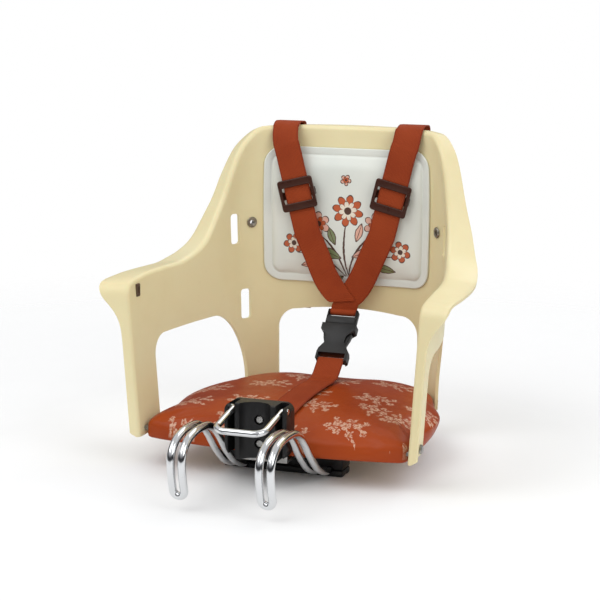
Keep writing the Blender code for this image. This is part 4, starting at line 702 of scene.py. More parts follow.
def puff(piece, held, pressure, cap, frames=20, mass=0.25, stiffness=18.0):
    """Cloth under inner pressure for some frames, with the points in held pinned; no point then keeps
    more than cap of its move. held and cap are arrays over the piece's points."""
    pins = piece.vertex_groups.new(name="held")
    for weight in np.unique(np.round(held, 2)):
        if weight > 0:
            pins.add(np.flatnonzero(np.round(held, 2) == weight).tolist(), float(weight), "REPLACE")
    before = points_of(piece)
    cloth = modify(piece, "CLOTH")
    cloth.settings.quality = 6
    cloth.settings.mass = mass
    cloth.settings.tension_stiffness = stiffness
    cloth.settings.compression_stiffness = stiffness
    cloth.settings.shear_stiffness = stiffness / 3
    cloth.settings.bending_stiffness = 0.6
    cloth.settings.vertex_group_mass = "held"
    cloth.settings.use_pressure = True
    cloth.settings.uniform_pressure_force = pressure
    cloth.settings.effector_weights.gravity = 0.0
    cloth.collision_settings.use_collision = False
    cloth.point_cache.frame_start = 1
    cloth.point_cache.frame_end = frames
    for number in range(1, frames + 1):
        scene.frame_set(number)
    settle(piece)
    scene.frame_set(1)
    move = points_of(piece) - before
    length = np.linalg.norm(move, axis=1, keepdims=True)
    cap = np.broadcast_to(cap, len(before))[:, None]
    move *= np.where(length > 0, cap * np.tanh(length / np.maximum(cap, 1e-6)) / np.maximum(length, 1e-9), 0)
    piece.data.vertices.foreach_set("co", (before + move).ravel())
    piece.data.update()
    print("puff", piece.name, "largest move", round(float(length.max()) * 1000, 2), "mm")


cushion = surface("seat_cushion", [(False, cover_surface())], "seat", 180.0)
# Held at the hem. The cap is 0.4 mm under the strap and beside the rear legs, and 2.1 mm elsewhere.
x, y, z = points_of(cushion).T
low = np.clip((0.0008 + datum_height - z) / 0.0016, 0, 1)
strap_side = np.clip((np.abs(x) - 0.0135) / 0.045, 0, 1)
leg_side = 1 - np.clip((np.abs(x) - 0.100) / 0.008, 0, 1) * np.clip((y - 0.130) / 0.01, 0, 1)
puff(cushion, low, 3.0, 0.0004 + 0.0017 * strap_side * strap_side * (3 - 2 * strap_side) * leg_side)
weld(cushion, surface("cover_inside", [(True, pocket_surface())], None, 180.0))
modify(cushion, "SUBSURF", levels=1, render_levels=1)
settle(cushion, 180.0)

# Leather grain of vinyl: small cells with soft edges over slow creases.
tree, given = effect("vinyl_grain", [("Place", "Vector", None), ("Cells", "Float", 900.0)],
                     [("Relief", "Float")])
cells = put(tree, "ShaderNodeTexVoronoi", {"Vector": given["Place"], "Scale": given["Cells"]},
            feature="SMOOTH_F1").outputs["Distance"]
creases = noise(tree, given["Place"], 70.0, 6.0, 0.65)
put(tree, "NodeGroupOutput", {"Relief": sum_of(tree, "ADD", sum_of(tree, "MULTIPLY", cells, 0.35), creases)})

# One printed blossom on a plane: petals round a middle, as a filled mask and as its drawn outline.
tree, given = effect("blossom", [("Place", "Vector", None), ("Middle", "Vector", None), ("Size", "Float", 0.01),
                                 ("Petals", "Float", 5.0), ("Turn", "Float", 0.0), ("Line", "Float", 0.0006)],
                     [("Fill", "Float"), ("Outline", "Float"), ("Heart", "Float")])
parts = parts_of(tree, vector_of(tree, "SUBTRACT", given["Place"], given["Middle"]))
radius = sum_of(tree, "SQRT", sum_of(tree, "ADD", sum_of(tree, "MULTIPLY", parts[0], parts[0]),
                                     sum_of(tree, "MULTIPLY", parts[1], parts[1])))
angle = sum_of(tree, "ADD", sum_of(tree, "ARCTAN2", parts[1], parts[0]), given["Turn"])
lobe = sum_of(tree, "ABSOLUTE", sum_of(tree, "COSINE", sum_of(tree, "MULTIPLY", angle,
                                                              sum_of(tree, "MULTIPLY", given["Petals"], 0.5))))
edge = sum_of(tree, "MULTIPLY", given["Size"], sum_of(tree, "MULTIPLY_ADD", sum_of(tree, "POWER", lobe, 0.55),
                                                      0.55, 0.45))
away = sum_of(tree, "SUBTRACT", radius, edge)
outline = sum_of(tree, "LESS_THAN", sum_of(tree, "ABSOLUTE", away), given["Line"])
heart = sum_of(tree, "LESS_THAN", radius, sum_of(tree, "MULTIPLY", given["Size"], 0.24))
put(tree, "NodeGroupOutput", {"Fill": sum_of(tree, "LESS_THAN", away, 0.0), "Outline": outline, "Heart": heart})

# One printed leaf or stem: a pointed blade of given length and width that starts at a root.
tree, given = effect("blade", [("Place", "Vector", None), ("Root", "Vector", None), ("Turn", "Float", 0.0),
                               ("Length", "Float", 0.01), ("Width", "Float", 0.003), ("Bow", "Float", 0.0),
                               ("Line", "Float", 0.0005)], [("Fill", "Float"), ("Outline", "Float")])
offset = vector_of(tree, "SUBTRACT", given["Place"], given["Root"])
turned = put(tree, "ShaderNodeVectorRotate", {"Vector": offset,
                                              "Angle": sum_of(tree, "MULTIPLY", given["Turn"], -1.0)},
             rotation_type="Z_AXIS").outputs[0]
parts = parts_of(tree, turned)
share = sum_of(tree, "DIVIDE", parts[0], given["Length"])
held = put(tree, "ShaderNodeClamp", {0: share}).outputs[0]
hump = sum_of(tree, "SINE", sum_of(tree, "MULTIPLY", held, np.pi))
middle_line = sum_of(tree, "MULTIPLY", hump, given["Bow"])
away = sum_of(tree, "ABSOLUTE", sum_of(tree, "SUBTRACT", parts[1], middle_line))
edge = sum_of(tree, "MULTIPLY", hump, given["Width"])
within = sum_of(tree, "MULTIPLY", sum_of(tree, "GREATER_THAN", share, 0.0),
                sum_of(tree, "LESS_THAN", share, 1.0))
fill = sum_of(tree, "MULTIPLY", within, sum_of(tree, "LESS_THAN", away, edge))
line = sum_of(tree, "LESS_THAN", sum_of(tree, "ABSOLUTE", sum_of(tree, "SUBTRACT", away, edge)), given["Line"])
vein = sum_of(tree, "LESS_THAN", away, sum_of(tree, "MULTIPLY", given["Line"], 0.7))
outline = sum_of(tree, "MULTIPLY", within, sum_of(tree, "MAXIMUM", line, vein))
put(tree, "NodeGroupOutput", {"Fill": fill, "Outline": outline})

tree, place = blank("printed_vinyl")
flat = vector_of(tree, "MULTIPLY", place, (1.0, 1.0, 0.0))
wobble = noise(tree, flat, 380.0, 2.0, output="Color")
flat = vector_of(tree, "ADD", vector_of(tree, "MULTIPLY", wobble, (0.0035, 0.0035, 0.0)), flat)
spread = put(tree, "ShaderNodeTexVoronoi", {"Vector": flat, "Scale": 21.0, "Randomness": 0.55},
             voronoi_dimensions="2D")
local = vector_of(tree, "SUBTRACT", flat, spread.outputs["Position"])
chance = put(tree, "ShaderNodeSeparateColor", {0: spread.outputs["Color"]}).outputs[0]
spin = sum_of(tree, "SUBTRACT", sum_of(tree, "MULTIPLY", chance, 1.6), 0.8)
local = put(tree, "ShaderNodeVectorRotate", {"Vector": local, "Angle": spin}, rotation_type="Z_AXIS").outputs[0]
print_mask, print_heart = 0.0, 0.0
for x, y, size, petals, turn in ((-0.0005, 0.0005, 0.0050, 5, 0.3), (-0.0090, 0.0030, 0.0042, 5, 1.1),
                                 (0.0090, 0.0035, 0.0044, 5, 0.8), (-0.0155, -0.0035, 0.0034, 5, 0.1),
                                 (0.0165, -0.0025, 0.0035, 4, 0.5), (-0.0055, -0.0072, 0.0036, 5, 0.6),
                                 (0.0060, -0.0068, 0.0038, 5, 0.2), (-0.0015, 0.0092, 0.0030, 5, 0.9),
                                 (0.0135, 0.0105, 0.0028, 4, 0.2), (-0.0140, 0.0100, 0.0028, 5, 0.7)):
    bloom = use(tree, "blossom", Place=local, Middle=(x, y, 0), Size=size, Petals=float(petals), Turn=turn,
                Line=0.0003)
    print_mask = sum_of(tree, "MAXIMUM", print_mask, bloom["Fill"])
    print_heart = sum_of(tree, "MAXIMUM", print_heart, bloom["Heart"])
for x, y, turn, length, width in ((0.004, 0.002, 0.5, 0.017, 0.0011), (-0.003, 0.0, 3.4, 0.018, 0.0011),
                                  (0.001, -0.002, -0.9, 0.012, 0.0013), (0.002, 0.005, 1.3, 0.010, 0.0014),
                                  (-0.008, -0.003, -2.3, 0.009, 0.0014), (0.010, 0.0, -0.2, 0.011, 0.0013),
                                  (-0.010, 0.005, 2.3, 0.010, 0.0013), (0.009, -0.009, -0.7, 0.008, 0.0013)):
    leaf = use(tree, "blade", Place=local, Root=(x, y, 0), Turn=turn, Length=length, Width=width, Line=0.0002)
    print_mask = sum_of(tree, "MAXIMUM", print_mask, leaf["Fill"])
worn = stretch(tree, noise(tree, place, 520.0, 3.0), 0.34, 0.55)
print_mask = sum_of(tree, "MULTIPLY", sum_of(tree, "MULTIPLY", print_mask, worn), 0.80)
facing = parts_of(tree, put(tree, "ShaderNodeNewGeometry").outputs["Normal"])["Z"]
print_mask = sum_of(tree, "MULTIPLY", print_mask, stretch(tree, facing, -0.05, 0.20))
ground = ramp(tree, noise(tree, place, 14.0, 5.0), (0.32, (0.27, 0.036, 0.005)), (0.55, (0.33, 0.050, 0.006)),
              (0.75, (0.30, 0.040, 0.006)))
ink = mixed(tree, print_heart, (0.64, 0.42, 0.30), (0.38, 0.14, 0.05))
tone = mixed(tree, print_mask, ground, ink)
grain = use(tree, "vinyl_grain", Place=place, Cells=800.0)["Relief"]
gloss = stretch(tree, grain, 0.2, 0.9, 0.30, 0.44)
cushion.data.materials.append(finish("printed_vinyl", tone, gloss, bumped(tree, grain, 0.22, 0.0006),
                                     Coat_Weight=0.03, Coat_Roughness=0.25, Specular_IOR_Level=0.16))
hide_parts("seat_cover", "seat_foam")

# Plywood board under the cushion: veneer plies show at its edge, straight grain on its faces.
tree, place = blank("birch_plywood")
grain = noise(tree, vector_of(tree, "MULTIPLY", place, (18.0, 240.0, 30.0)), 1.0, 6.0, 0.6)
ply = sum_of(tree, "SINE", sum_of(tree, "MULTIPLY", parts_of(tree, place)["Z"], 3140.0))
veneer = ramp(tree, grain, (0.30, (0.42, 0.27, 0.14)), (0.50, (0.60, 0.43, 0.25)), (0.72, (0.66, 0.50, 0.31)))
stripes = mixed(tree, stretch(tree, ply, -0.4, 0.4, 0.0, 0.45), veneer, (0.25, 0.14, 0.065))
upright = sum_of(tree, "ABSOLUTE", parts_of(tree, put(tree, "ShaderNodeNewGeometry").outputs["Normal"])["Z"])
wood = mixed(tree, stretch(tree, upright, 0.4, 0.6), stripes, veneer)
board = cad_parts["seat_board"]
board.data.materials.clear()
board.data.materials.append(finish("birch_plywood", wood, 0.7, bumped(tree, grain, 0.3, 0.0005)))


# Backrest pad. Thin panel of pale vinyl with foam behind it, welded along a line near its rounded edge
# and lying against the inside of the back. It carries a printed bunch of plain flowers in rust and brown.

pad_half, pad_low, pad_high, pad_corner = 0.0800, 0.1055, 0.230, 0.017
pad_tall, pad_middle = (pad_high - pad_low) / 2, (pad_high + pad_low) / 2
border_thick, weld_inset, weld_width, weld_depth = 0.0022, 0.007, 0.0011, 0.0005
pillow_inset, pillow_shoulder, pillow_rise = 0.0078, 0.011, 0.0026


def pad_ring(inset, thickness):
    """Rounded rectangle drawn in by inset, standing off the wall by thickness."""
    wide, tall = pad_half - inset, pad_tall - inset
    corner = min(max(pad_corner - inset, 0.0022), tall)
    outline = round_box(2 * wide, 2 * tall, corner, 10, 20)
    return on_wall(outline[:, 0], pad_middle + outline[:, 1], thickness)[0]


def pad_profile(inset):
    """Thickness: a 2.2 mm welded border, less a weld line in the form of a bell curve, 0.5 mm deep, plus
    a pillow of 2.6 mm whose shoulder is a quarter of an ellipse."""
    border = border_thick - weld_depth * np.exp(-((inset - weld_inset) / weld_width) ** 2)
    rise = np.clip((inset - pillow_inset) / pillow_shoulder, 0, 1)
    return border + pillow_rise * np.sqrt(1 - (1 - rise) ** 2)


insets = np.concatenate([[0.0004, 0.0011, 0.002], np.linspace(0.003, 0.0058, 3), np.linspace(0.0062, 0.0082, 6),
                         np.linspace(0.009, 0.02, 9), np.linspace(0.0225, pad_tall, 16)])
front_rings = [pad_ring(0.0, 0.0006), pad_ring(0.0, 0.0014)]
front_rings += [pad_ring(inset, float(pad_profile(inset))) for inset in insets]
back_rings = [pad_ring(inset, 0.0003) for inset in (pad_tall, 0.045, 0.03, 0.015, 0.004, 0.0006)]
pad = surface("back_panel", [(False, np.stack(back_rings + front_rings))], "seat", 180.0)
# Held on its back and out to the weld line, where its points lie on the rings that they came from.
rim = np.stack(front_rings[:10] + back_rings).reshape(-1, 3)
nearest = ((points_of(pad)[:, None] - rim) ** 2).sum(axis=2).min(axis=1)
puff(pad, np.where(nearest < 0.00002 ** 2, 1.0, 0.0), 2.2, 0.0016)
modify(pad, "SUBSURF", levels=1, render_levels=1)
settle(pad, 180.0)

tree, place = blank("pale_vinyl_print")
across, _, upward = parts_of(tree, place)
plane = put(tree, "ShaderNodeCombineXYZ", {0: across, 1: upward, 2: 0.0}).outputs[0]
shiver = noise(tree, plane, 300.0, 1.0, output="Color")
plane = vector_of(tree, "ADD", vector_of(tree, "MULTIPLY", shiver, (0.0009, 0.0009, 0.0)), plane)
tone = ramp(tree, noise(tree, place, 20.0, 4.0), (0.3, (0.67, 0.70, 0.645)), (0.7, (0.735, 0.75, 0.685)))
rust, brown, green, blush = (0.50, 0.095, 0.025), (0.085, 0.035, 0.022), (0.20, 0.24, 0.11), (0.72, 0.40, 0.30)
for x, z, turn, length, bow in ((0.002, 0.140, 1.60, 0.050, 0.003), (0.000, 0.140, 2.16, 0.046, -0.004),
                                (0.002, 0.140, 1.02, 0.048, 0.005), (-0.001, 0.139, 2.72, 0.050, -0.007),
                                (0.003, 0.139, 0.42, 0.052, 0.007)):
    stem = use(tree, "blade", Place=plane, Root=(x, z, 0), Turn=turn, Length=length, Width=0.0007, Bow=bow,
               Line=0.0003)
    tone = mixed(tree, sum_of(tree, "MAXIMUM", stem["Fill"], stem["Outline"]), tone, brown)
for number, (x, z, turn, length, width) in enumerate((
        (0.006, 0.158, 0.35, 0.024, 0.0042), (-0.004, 0.156, 2.75, 0.023, 0.0042),
        (0.010, 0.172, 1.25, 0.018, 0.0034), (-0.010, 0.168, 1.95, 0.018, 0.0034),
        (-0.022, 0.152, 3.35, 0.022, 0.0036), (0.026, 0.151, -0.22, 0.022, 0.0036),
        (0.004, 0.139, -0.55, 0.019, 0.0032), (-0.003, 0.139, 3.65, 0.019, 0.0032))):
    leaf = use(tree, "blade", Place=plane, Root=(x, z, 0), Turn=turn, Length=length, Width=width, Line=0.00042)
    tone = mixed(tree, leaf["Fill"], tone, green if number % 2 else blush)
    tone = mixed(tree, leaf["Outline"], tone, brown)
for x, z, size, petals, turn, colour in ((0.002, 0.200, 0.0145, 8, 0.2, rust),
                                         (-0.026, 0.187, 0.0110, 6, 0.5, blush),
                                         (0.029, 0.188, 0.0115, 7, 0.1, blush),
                                         (-0.050, 0.168, 0.0095, 6, 0.9, rust),
                                         (0.052, 0.165, 0.0098, 6, 0.3, rust),
                                         (-0.040, 0.213, 0.0060, 5, 0.4, rust),
                                         (0.041, 0.214, 0.0058, 5, 0.9, rust),
                                         (0.000, 0.228, 0.0050, 5, 0.2, blush)):
    bloom, inner = (use(tree, "blossom", Place=plane, Middle=(x, z, 0), Size=size * share, Petals=float(petals),
                        Turn=turn + turned, Line=line)
                    for share, turned, line in ((1.0, 0.0, 0.00048), (0.62, 0.4, 0.0003)))
    tone = mixed(tree, bloom["Fill"], tone, colour)
    tone = mixed(tree, inner["Fill"], tone, (0.78, 0.70, 0.58) if colour is rust else rust)
    tone = mixed(tree, sum_of(tree, "MAXIMUM", bloom["Outline"], inner["Outline"]), tone, brown)
    tone = mixed(tree, bloom["Heart"], tone, brown)
grain = use(tree, "vinyl_grain", Place=place, Cells=950.0)["Relief"]
pad.data.materials.append(finish("pale_vinyl_print", tone, 0.36, bumped(tree, grain, 0.16, 0.0005),
                                 Coat_Weight=0.12, Coat_Roughness=0.3))
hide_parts("backrest_pad")


# Handlebar hooks and rod clamps. Each hook is one chromed rod of 6.5 mm, bent double: it runs forwards
# under the seat, climbs, turns over the handlebar and comes back beside itself. Two black plastic
# clamps under the board hold the four rod ends.

def smooth_route(points, steps):
    """Catmull-Rom curve through points, steps to each span."""
    points = np.asarray(points, float)
    ends = np.vstack([2 * points[0] - points[1], points, 2 * points[-1] - points[-2]])
    p0, p1, p2, p3 = (ends[k:len(ends) - 3 + k, None] for k in range(4))
    t = (np.arange(steps) / steps)[None, :, None]
    path = 0.5 * (2 * p1 + (p2 - p0) * t + (2 * p0 - 5 * p1 + 4 * p2 - p3) * t ** 2
                  + (3 * p1 - p0 - 3 * p2 + p3) * t ** 3)
    return np.vstack([path.reshape(-1, points.shape[1]), points[-1:]])


def wire(name, route, radius, body, sides=28, chamfer=0.0005):
    """A round section carried along a route, with chamfered ends: place + radius (first cos a + second
    sin a), where first is the section's direction before, turned as little as the route lets it."""
    along = unit(np.gradient(route, axis=0))
    first = [unit(np.cross(along[0], (0.0, 0.3, 1.0)))]
    for direction in along[1:]:
        first.append(unit(first[-1] - direction * first[-1].dot(direction)))
    first = np.array(first)
    second = np.cross(along, first)
    step = along * chamfer
    route = np.vstack([route[:1], route[:1] + step[:1], route[1:-1], route[-1:] - step[-1:], route[-1:]])
    first, second = (np.vstack([rows[:1], rows, rows[-1:]]) for rows in (first, second))
    size = np.full(len(route), radius)
    size[[0, -1]] -= chamfer
    angle = np.linspace(0, 2 * np.pi, sides + 1)
    grid = route[:, None] + size[:, None, None] * (first[:, None] * np.cos(angle)[None, :, None]
                                                   + second[:, None] * np.sin(angle)[None, :, None])
    return surface(name, [(True, grid)], body, 40.0, close=[grid[0, :-1], grid[-1, :-1][::-1]])


tree, place = blank("polished_chrome")
haze = noise(tree, place, 55.0, 6.0, 0.7)
pits = put(tree, "ShaderNodeTexVoronoi", {"Vector": place, "Scale": 420.0}).outputs["Distance"]
pits = sum_of(tree, "MULTIPLY", stretch(tree, pits, 0.05, 0.11, 1.0, 0.0), stretch(tree, haze, 0.55, 0.68))
tone = mixed(tree, pits, (0.70, 0.71, 0.72), (0.20, 0.14, 0.09))
gloss = sum_of(tree, "ADD", stretch(tree, haze, 0.35, 0.7, 0.045, 0.16), sum_of(tree, "MULTIPLY", pits, 0.4))
chrome = finish("polished_chrome", tone, gloss, bumped(tree, haze, 0.04, 0.0006), Metallic=1.0)

rod_radius, rod_half_gap, hook_middle, rod_end, rod_low = 0.00325, 0.00475, 0.037, 0.160, -0.020
apex, hook_backward, hook_rise, hook_forward, hook_drop = (-0.0685, 0.0336), 0.1015, 0.0536, 0.0395, 0.0425
# Side view of the rod: shares of the way back and down to the clamp, then of the way forward and down.
climb_shares = np.array([(0.91, 1.0), (0.85, 0.988), (0.76, 0.935), (0.635, 0.82), (0.50, 0.61), (0.42, 0.455),
                         (0.34, 0.29), (0.24, 0.13), (0.12, 0.03)])
hook_shares = np.array([(0.0, 0.0), (0.34, 0.0), (0.64, 0.06), (0.85, 0.17), (0.97, 0.32), (1.0, 0.51),
                        (0.97, 0.75), (0.90, 1.0)])
side_view = smooth_route(np.concatenate([apex + climb_shares * (hook_backward, -hook_rise),
                                         apex - hook_shares * (hook_forward, hook_drop)]), 8)
heading = unit(side_view[-1] - side_view[-2])
bend = np.linspace(0, np.pi, 22)[1:-1]
straight = np.linspace(rod_end, side_view[0, 0], 12)[:-1]
profile = np.vstack([np.stack([straight, np.full(len(straight), rod_low)], -1), side_view])
for side, label in ((1, "right"), (-1, "left")):
    tip = np.column_stack([side * (hook_middle + rod_half_gap * np.cos(bend)),
                           side_view[-1] + heading * rod_half_gap * np.sin(bend)[:, None]])
    outer, inner = (np.column_stack([np.full(len(profile), side * (hook_middle + away)), profile])
                    for away in (rod_half_gap, -rod_half_gap))
    route = np.vstack([outer, tip, inner[::-1]])
    hook = wire("hook_rod_bent_" + label, room(route[:, 0], route[:, 1], route[:, 2]), rod_radius, "seat")
    hook.data.materials.append(chrome)
    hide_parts("hook_rod_" + label)

# Black moulded plastic of the clamps, the block and the buckle, with a matt skin and rubbed, paler spots.
black = moulded("moulded_black", (0.0055, 0.0055, 0.006), (0.013, 0.012, 0.0115), 45.0, 1600.0, 0.25,
                (0.30, 0.48), Specular_IOR_Level=0.3)

# Zinc-plated steel of the screws, rivets and bracket, with fine drawing lines along the seat's width.
tree, place = blank("zinc_steel")
tone = use(tree, "moulded_tone", Place=place, Clean=(0.40, 0.40, 0.39), Aged=(0.22, 0.20, 0.18), Clouds=120.0,
           Skin=2200.0)
brushed = noise(tree, vector_of(tree, "MULTIPLY", place, (60.0, 1500.0, 1500.0)), 1.0, 3.0)
steel = finish("zinc_steel", tone["Tone"], stretch(tree, tone["Smudge"], 0.0, 1.0, 0.26, 0.45),
               bumped(tree, brushed, 0.2, 0.0003), Metallic=1.0)

for name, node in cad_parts.items():
    if "screw" in name or name.startswith("strap_rivet"):
        node.data.materials.clear()
        node.data.materials.append(steel)


def softened(names, width, material, bodies=None):
    """Copies of CAD solids, their triangles joined into flat faces and their edges rounded by width. Those
    not named in bodies ride on the seat."""
    bodies = bodies or {}
    for name in names:
        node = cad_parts[name]
        bm = bmesh.new()
        bm.from_mesh(node.data)
        bm.transform(node.matrix_world)
        bmesh.ops.remove_doubles(bm, verts=bm.verts, dist=0.00001)
        bmesh.ops.dissolve_limit(bm, angle_limit=np.radians(3), verts=bm.verts, edges=bm.edges)
        edges = [edge for edge in bm.edges
                 if len(edge.link_faces) == 2 and edge.calc_face_angle() > np.radians(38)]
        bmesh.ops.bevel(bm, geom=edges, offset=width, segments=3, profile=0.5, affect="EDGES",
                        clamp_overlap=True)
        mesh = bpy.data.meshes.new(name + "_soft")
        bm.to_mesh(mesh)
        bm.free()
        mesh.shade_smooth()
        mesh.set_sharp_from_angle(angle=np.radians(42))
        mesh.materials.append(material)
        copy = bpy.data.objects.new(name + "_soft", mesh)
        scene.collection.objects.link(copy)
        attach(copy, bodies.get(name, "seat"))
        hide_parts(name)


softened(("clamp_block_front", "clamp_block_rear", "clamp_cap_front", "clamp_cap_rear"), 0.0004, black)
softened(("stem_bracket",), 0.0003, steel)


# Stem block. Black plastic saddle, 54 mm wide at its square shoulders and narrower at its foot, with a
# groove for the stem, a channel for each arm of the bail, and two sunk screws into the bracket.

block_front, block_back, block_screw_heights = -0.0363, -0.0163, (0.012, 0.032)
pivot_depth, pivot_height, bail_half = block_front + 0.0068, 0.0415, 0.0207
groove_radius, groove_depth, block_reach = 0.0145, 0.0095, (0, 0, 0.056)
outline = np.concatenate([rounded((0.017, 0.014), 0.010, -np.pi / 2, -0.15, 10, 0.014), [(0.027, 0.01974)],
                          rounded((0.020, 0.040), 0.007, 0.0, np.pi / 2, 12)])
outline = np.concatenate([outline, outline[::-1] * (-1, 1)])
grids, ends = prism(room(outline[:, 0], block_back, outline[:, 1]), (0, block_front - block_back, 0))
block = surface("saddle_block", grids, "seat", close=ends)
face_outwards(block)
modify(block, "BEVEL", width=0.0013, segments=4, limit_method="ANGLE", angle_limit=np.radians(50))
settle(block)


def drill(x, height, radius, start, end, steps=32):
    """A cylinder along the depth axis, for use as a cutter."""
    circle = rounded((x, height), radius, 0.0, 2 * np.pi, steps)[:-1]
    return prism(room(circle[:, 0], start, circle[:, 1]), (0, end - start, 0))


stem_groove = rounded((0.0, block_front + groove_depth - groove_radius), groove_radius, 0.0, 2 * np.pi, 72)[:-1]
cut(block, [prism(room(stem_groove[:, 0], stem_groove[:, 1], -0.004), block_reach)])
channel = np.array([(0.01745, -0.041), (0.02395, -0.041), (0.02395, -0.0211), (0.01745, -0.0211)])
pin_hole = rounded((pivot_depth, pivot_height), 0.00305, 0.0, 2 * np.pi, 24)[:-1]
cut(block, [prism(room(side * channel[:, 0], channel[:, 1], -0.004), block_reach) for side in (1, -1)])
cut(block, [prism(room(side * bail_half, pin_hole[:, 0], pin_hole[:, 1]), (side * 0.010, 0, 0))
            for side in (1, -1)])
for radius, start, end in ((0.0042, block_front - 0.004, block_back - 0.007),
                           (0.0023, block_back - 0.009, block_back + 0.004)):
    cut(block, [drill(0.0, height, radius, start, end) for height in block_screw_heights])
block.data.materials.append(black)
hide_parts("stem_block")


# Wire bail of the stem block. A chromed wire of 5.5 mm with its ends turned outwards into the block,
# which it pivots on: two arms and a crossbar that closes round the handlebar stem.

arm, bend, wire_radius, rest = 0.0435, 0.009, 0.00275, np.radians(-10.9)
half = np.concatenate([[(bail_half + 0.0058, 0.0), (bail_half + 0.0030, 0.0)],
                       rounded((bail_half + wire_radius, -wire_radius), wire_radius, np.pi / 2, np.pi, 8),
                       np.stack([np.full(12, bail_half), np.linspace(-0.005, bend - arm - 0.001, 12)], -1),
                       rounded((bail_half - bend, bend - arm), bend, 0.0, -np.pi / 2, 16),
                       [(0.006, -arm), (0.0, -arm)]])
x, reach = np.vstack([half, (half * (-1, 1))[-2::-1]]).T
bail = wire("bail_wire", room(x, pivot_depth + reach * np.cos(rest), pivot_height - reach * np.sin(rest)),
            wire_radius, "bail")
bail.data.materials.append(chrome)
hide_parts("stem_bail")


# Harness webbing. Rust-coloured 25 mm webbing, 1.4 mm thick. Each shoulder strap is riveted behind the
# back, passes over its top edge and runs down to the buckle; the right one loops round the bar of the
# tongue and the left is sewn on top of it. The crotch strap comes up from under the board.

webbing_width, webbing_thick, gap = 0.025, 0.0014, 0.0003
strap_depth = back_depth - 0.005 - 0.0050 - webbing_thick / 2
strap_behind = back_depth + shell_wall + gap + webbing_thick / 2
top_across, top_height, foot_across, foot_height, meeting_height = 0.0526, 0.222, 0.0354, 0.153, 0.088
buckle_lean, buckle_length, bar_radius = np.radians(42), 0.055, 0.0017
buckle_top = np.array((0.0, strap_depth + 0.001, 0.082))
buckle_down = np.array((0.0, -np.sin(buckle_lean), -np.cos(buckle_lean)))
buckle_front = np.array((0.0, -np.cos(buckle_lean), np.sin(buckle_lean)))
loop_radius = bar_radius + gap + webbing_thick / 2


def shoulder_route(side, tail, layer):
    """Seat places along a shoulder strap, from its tail behind the back to the buckle."""
    share = (half_run - 0.059 - fold) / (half_run - fold)
    lip = float(lip_reach(share)) + gap + webbing_thick
    rim = back_height + gap + webbing_thick / 2
    front = strap_depth - layer * (webbing_thick + gap)
    line = [(0.050, strap_behind, tail), (0.052, strap_behind, 0.120), (0.055, strap_behind, 0.170),
            (0.057, strap_behind + 0.0006, back_height - 0.036),
            (0.059, strap_behind + 0.5 * lip, back_height - 0.019),
            (0.059, back_depth + lip + 0.0005, back_height - 0.0055),
            (0.059, back_depth + lip - 0.001, back_height + 0.0009),
            (0.059, back_depth + lip * 0.55, rim + 0.0011), (0.059, back_depth + 0.0010, rim + 0.0010),
            (0.0583, back_depth - 0.0064, back_height - 0.0028), (0.0565, front + 0.001, back_height - 0.014),
            (top_across, front, top_height), (foot_across, front, foot_height)]
    line = smooth_route(line, 8)[:-8]
    straight = np.linspace(line[-1], (foot_across, front, foot_height), 12)[:-1]
    share_height = (0.69, 0.38, 0.14, 0.0) if layer == 0 else (0.69, 0.38, 0.16, 0.05)
    end = [(foot_across * u, front, meeting_height + (foot_height - meeting_height) * v)
           for u, v in zip((0.74, 0.49, 0.22, 0.03), share_height)]
    route = np.vstack([line, straight, smooth_route([(foot_across, front, foot_height), *end], 8)])
    return route * (side, 1, 1)


def webbing(name, route, across):
    """A flat section with half-round edges carried along a route, its width along the vectors in across
    and its thickness square to them and to the route."""
    along = unit(np.gradient(route, axis=0))
    across = unit(across)
    face = unit(np.cross(along, across))
    edge = webbing_thick / 2
    flat = np.linspace(-1, 1, 25)[1:-1] * (webbing_width / 2 - edge)
    half = np.concatenate([rounded((webbing_width / 2 - edge, 0.0), edge, -np.pi / 2, np.pi / 2, 6),
                           np.stack([flat[::-1], np.full(len(flat), edge)], -1)])
    section = np.vstack([half, -half, half[:1]])
    grid = route[:, None] + across[:, None] * section[None, :, :1] + face[:, None] * section[None, :, 1:]
    return surface(name, [(True, grid)], "seat", 50.0, close=[grid[0, :-1], grid[-1, :-1][::-1]])


def add_weave_map(strap, route, across):
    """Writes the UV map, in metres: each corner takes its place across the strap, and the length along
    it, from the step of the route that it misses by least."""
    length = np.concatenate([[0], np.cumsum(np.linalg.norm(np.diff(route, axis=0), axis=1))])
    across = unit(across)
    spots = points_of(strap)
    along = unit(np.gradient(route, axis=0))
    half_thick = webbing_thick / 2 + 0.0001
    best = np.full(len(spots), np.inf)
    u, v = np.zeros(len(spots)), np.zeros(len(spots))
    for place, ahead, side, run in zip(route, along, across, length):
        offset = spots - place
        sideways, forwards, lift = offset @ side, offset @ ahead, offset @ np.cross(ahead, side)
        miss = (np.abs(forwards) + np.maximum(0, np.abs(sideways) - webbing_width / 2)
                + np.maximum(0, np.abs(lift) - half_thick))
        nearer = miss < best
        best = np.where(nearer, miss, best)
        u = np.where(nearer, sideways, u)
        v = np.where(nearer, run + forwards, v)
    layer = strap.data.uv_layers.new(name="weave")
    index = np.empty(len(strap.data.loops), int)
    strap.data.loops.foreach_get("vertex_index", index)
    layer.data.foreach_set("uv", np.stack([u[index], v[index]], -1).ravel())


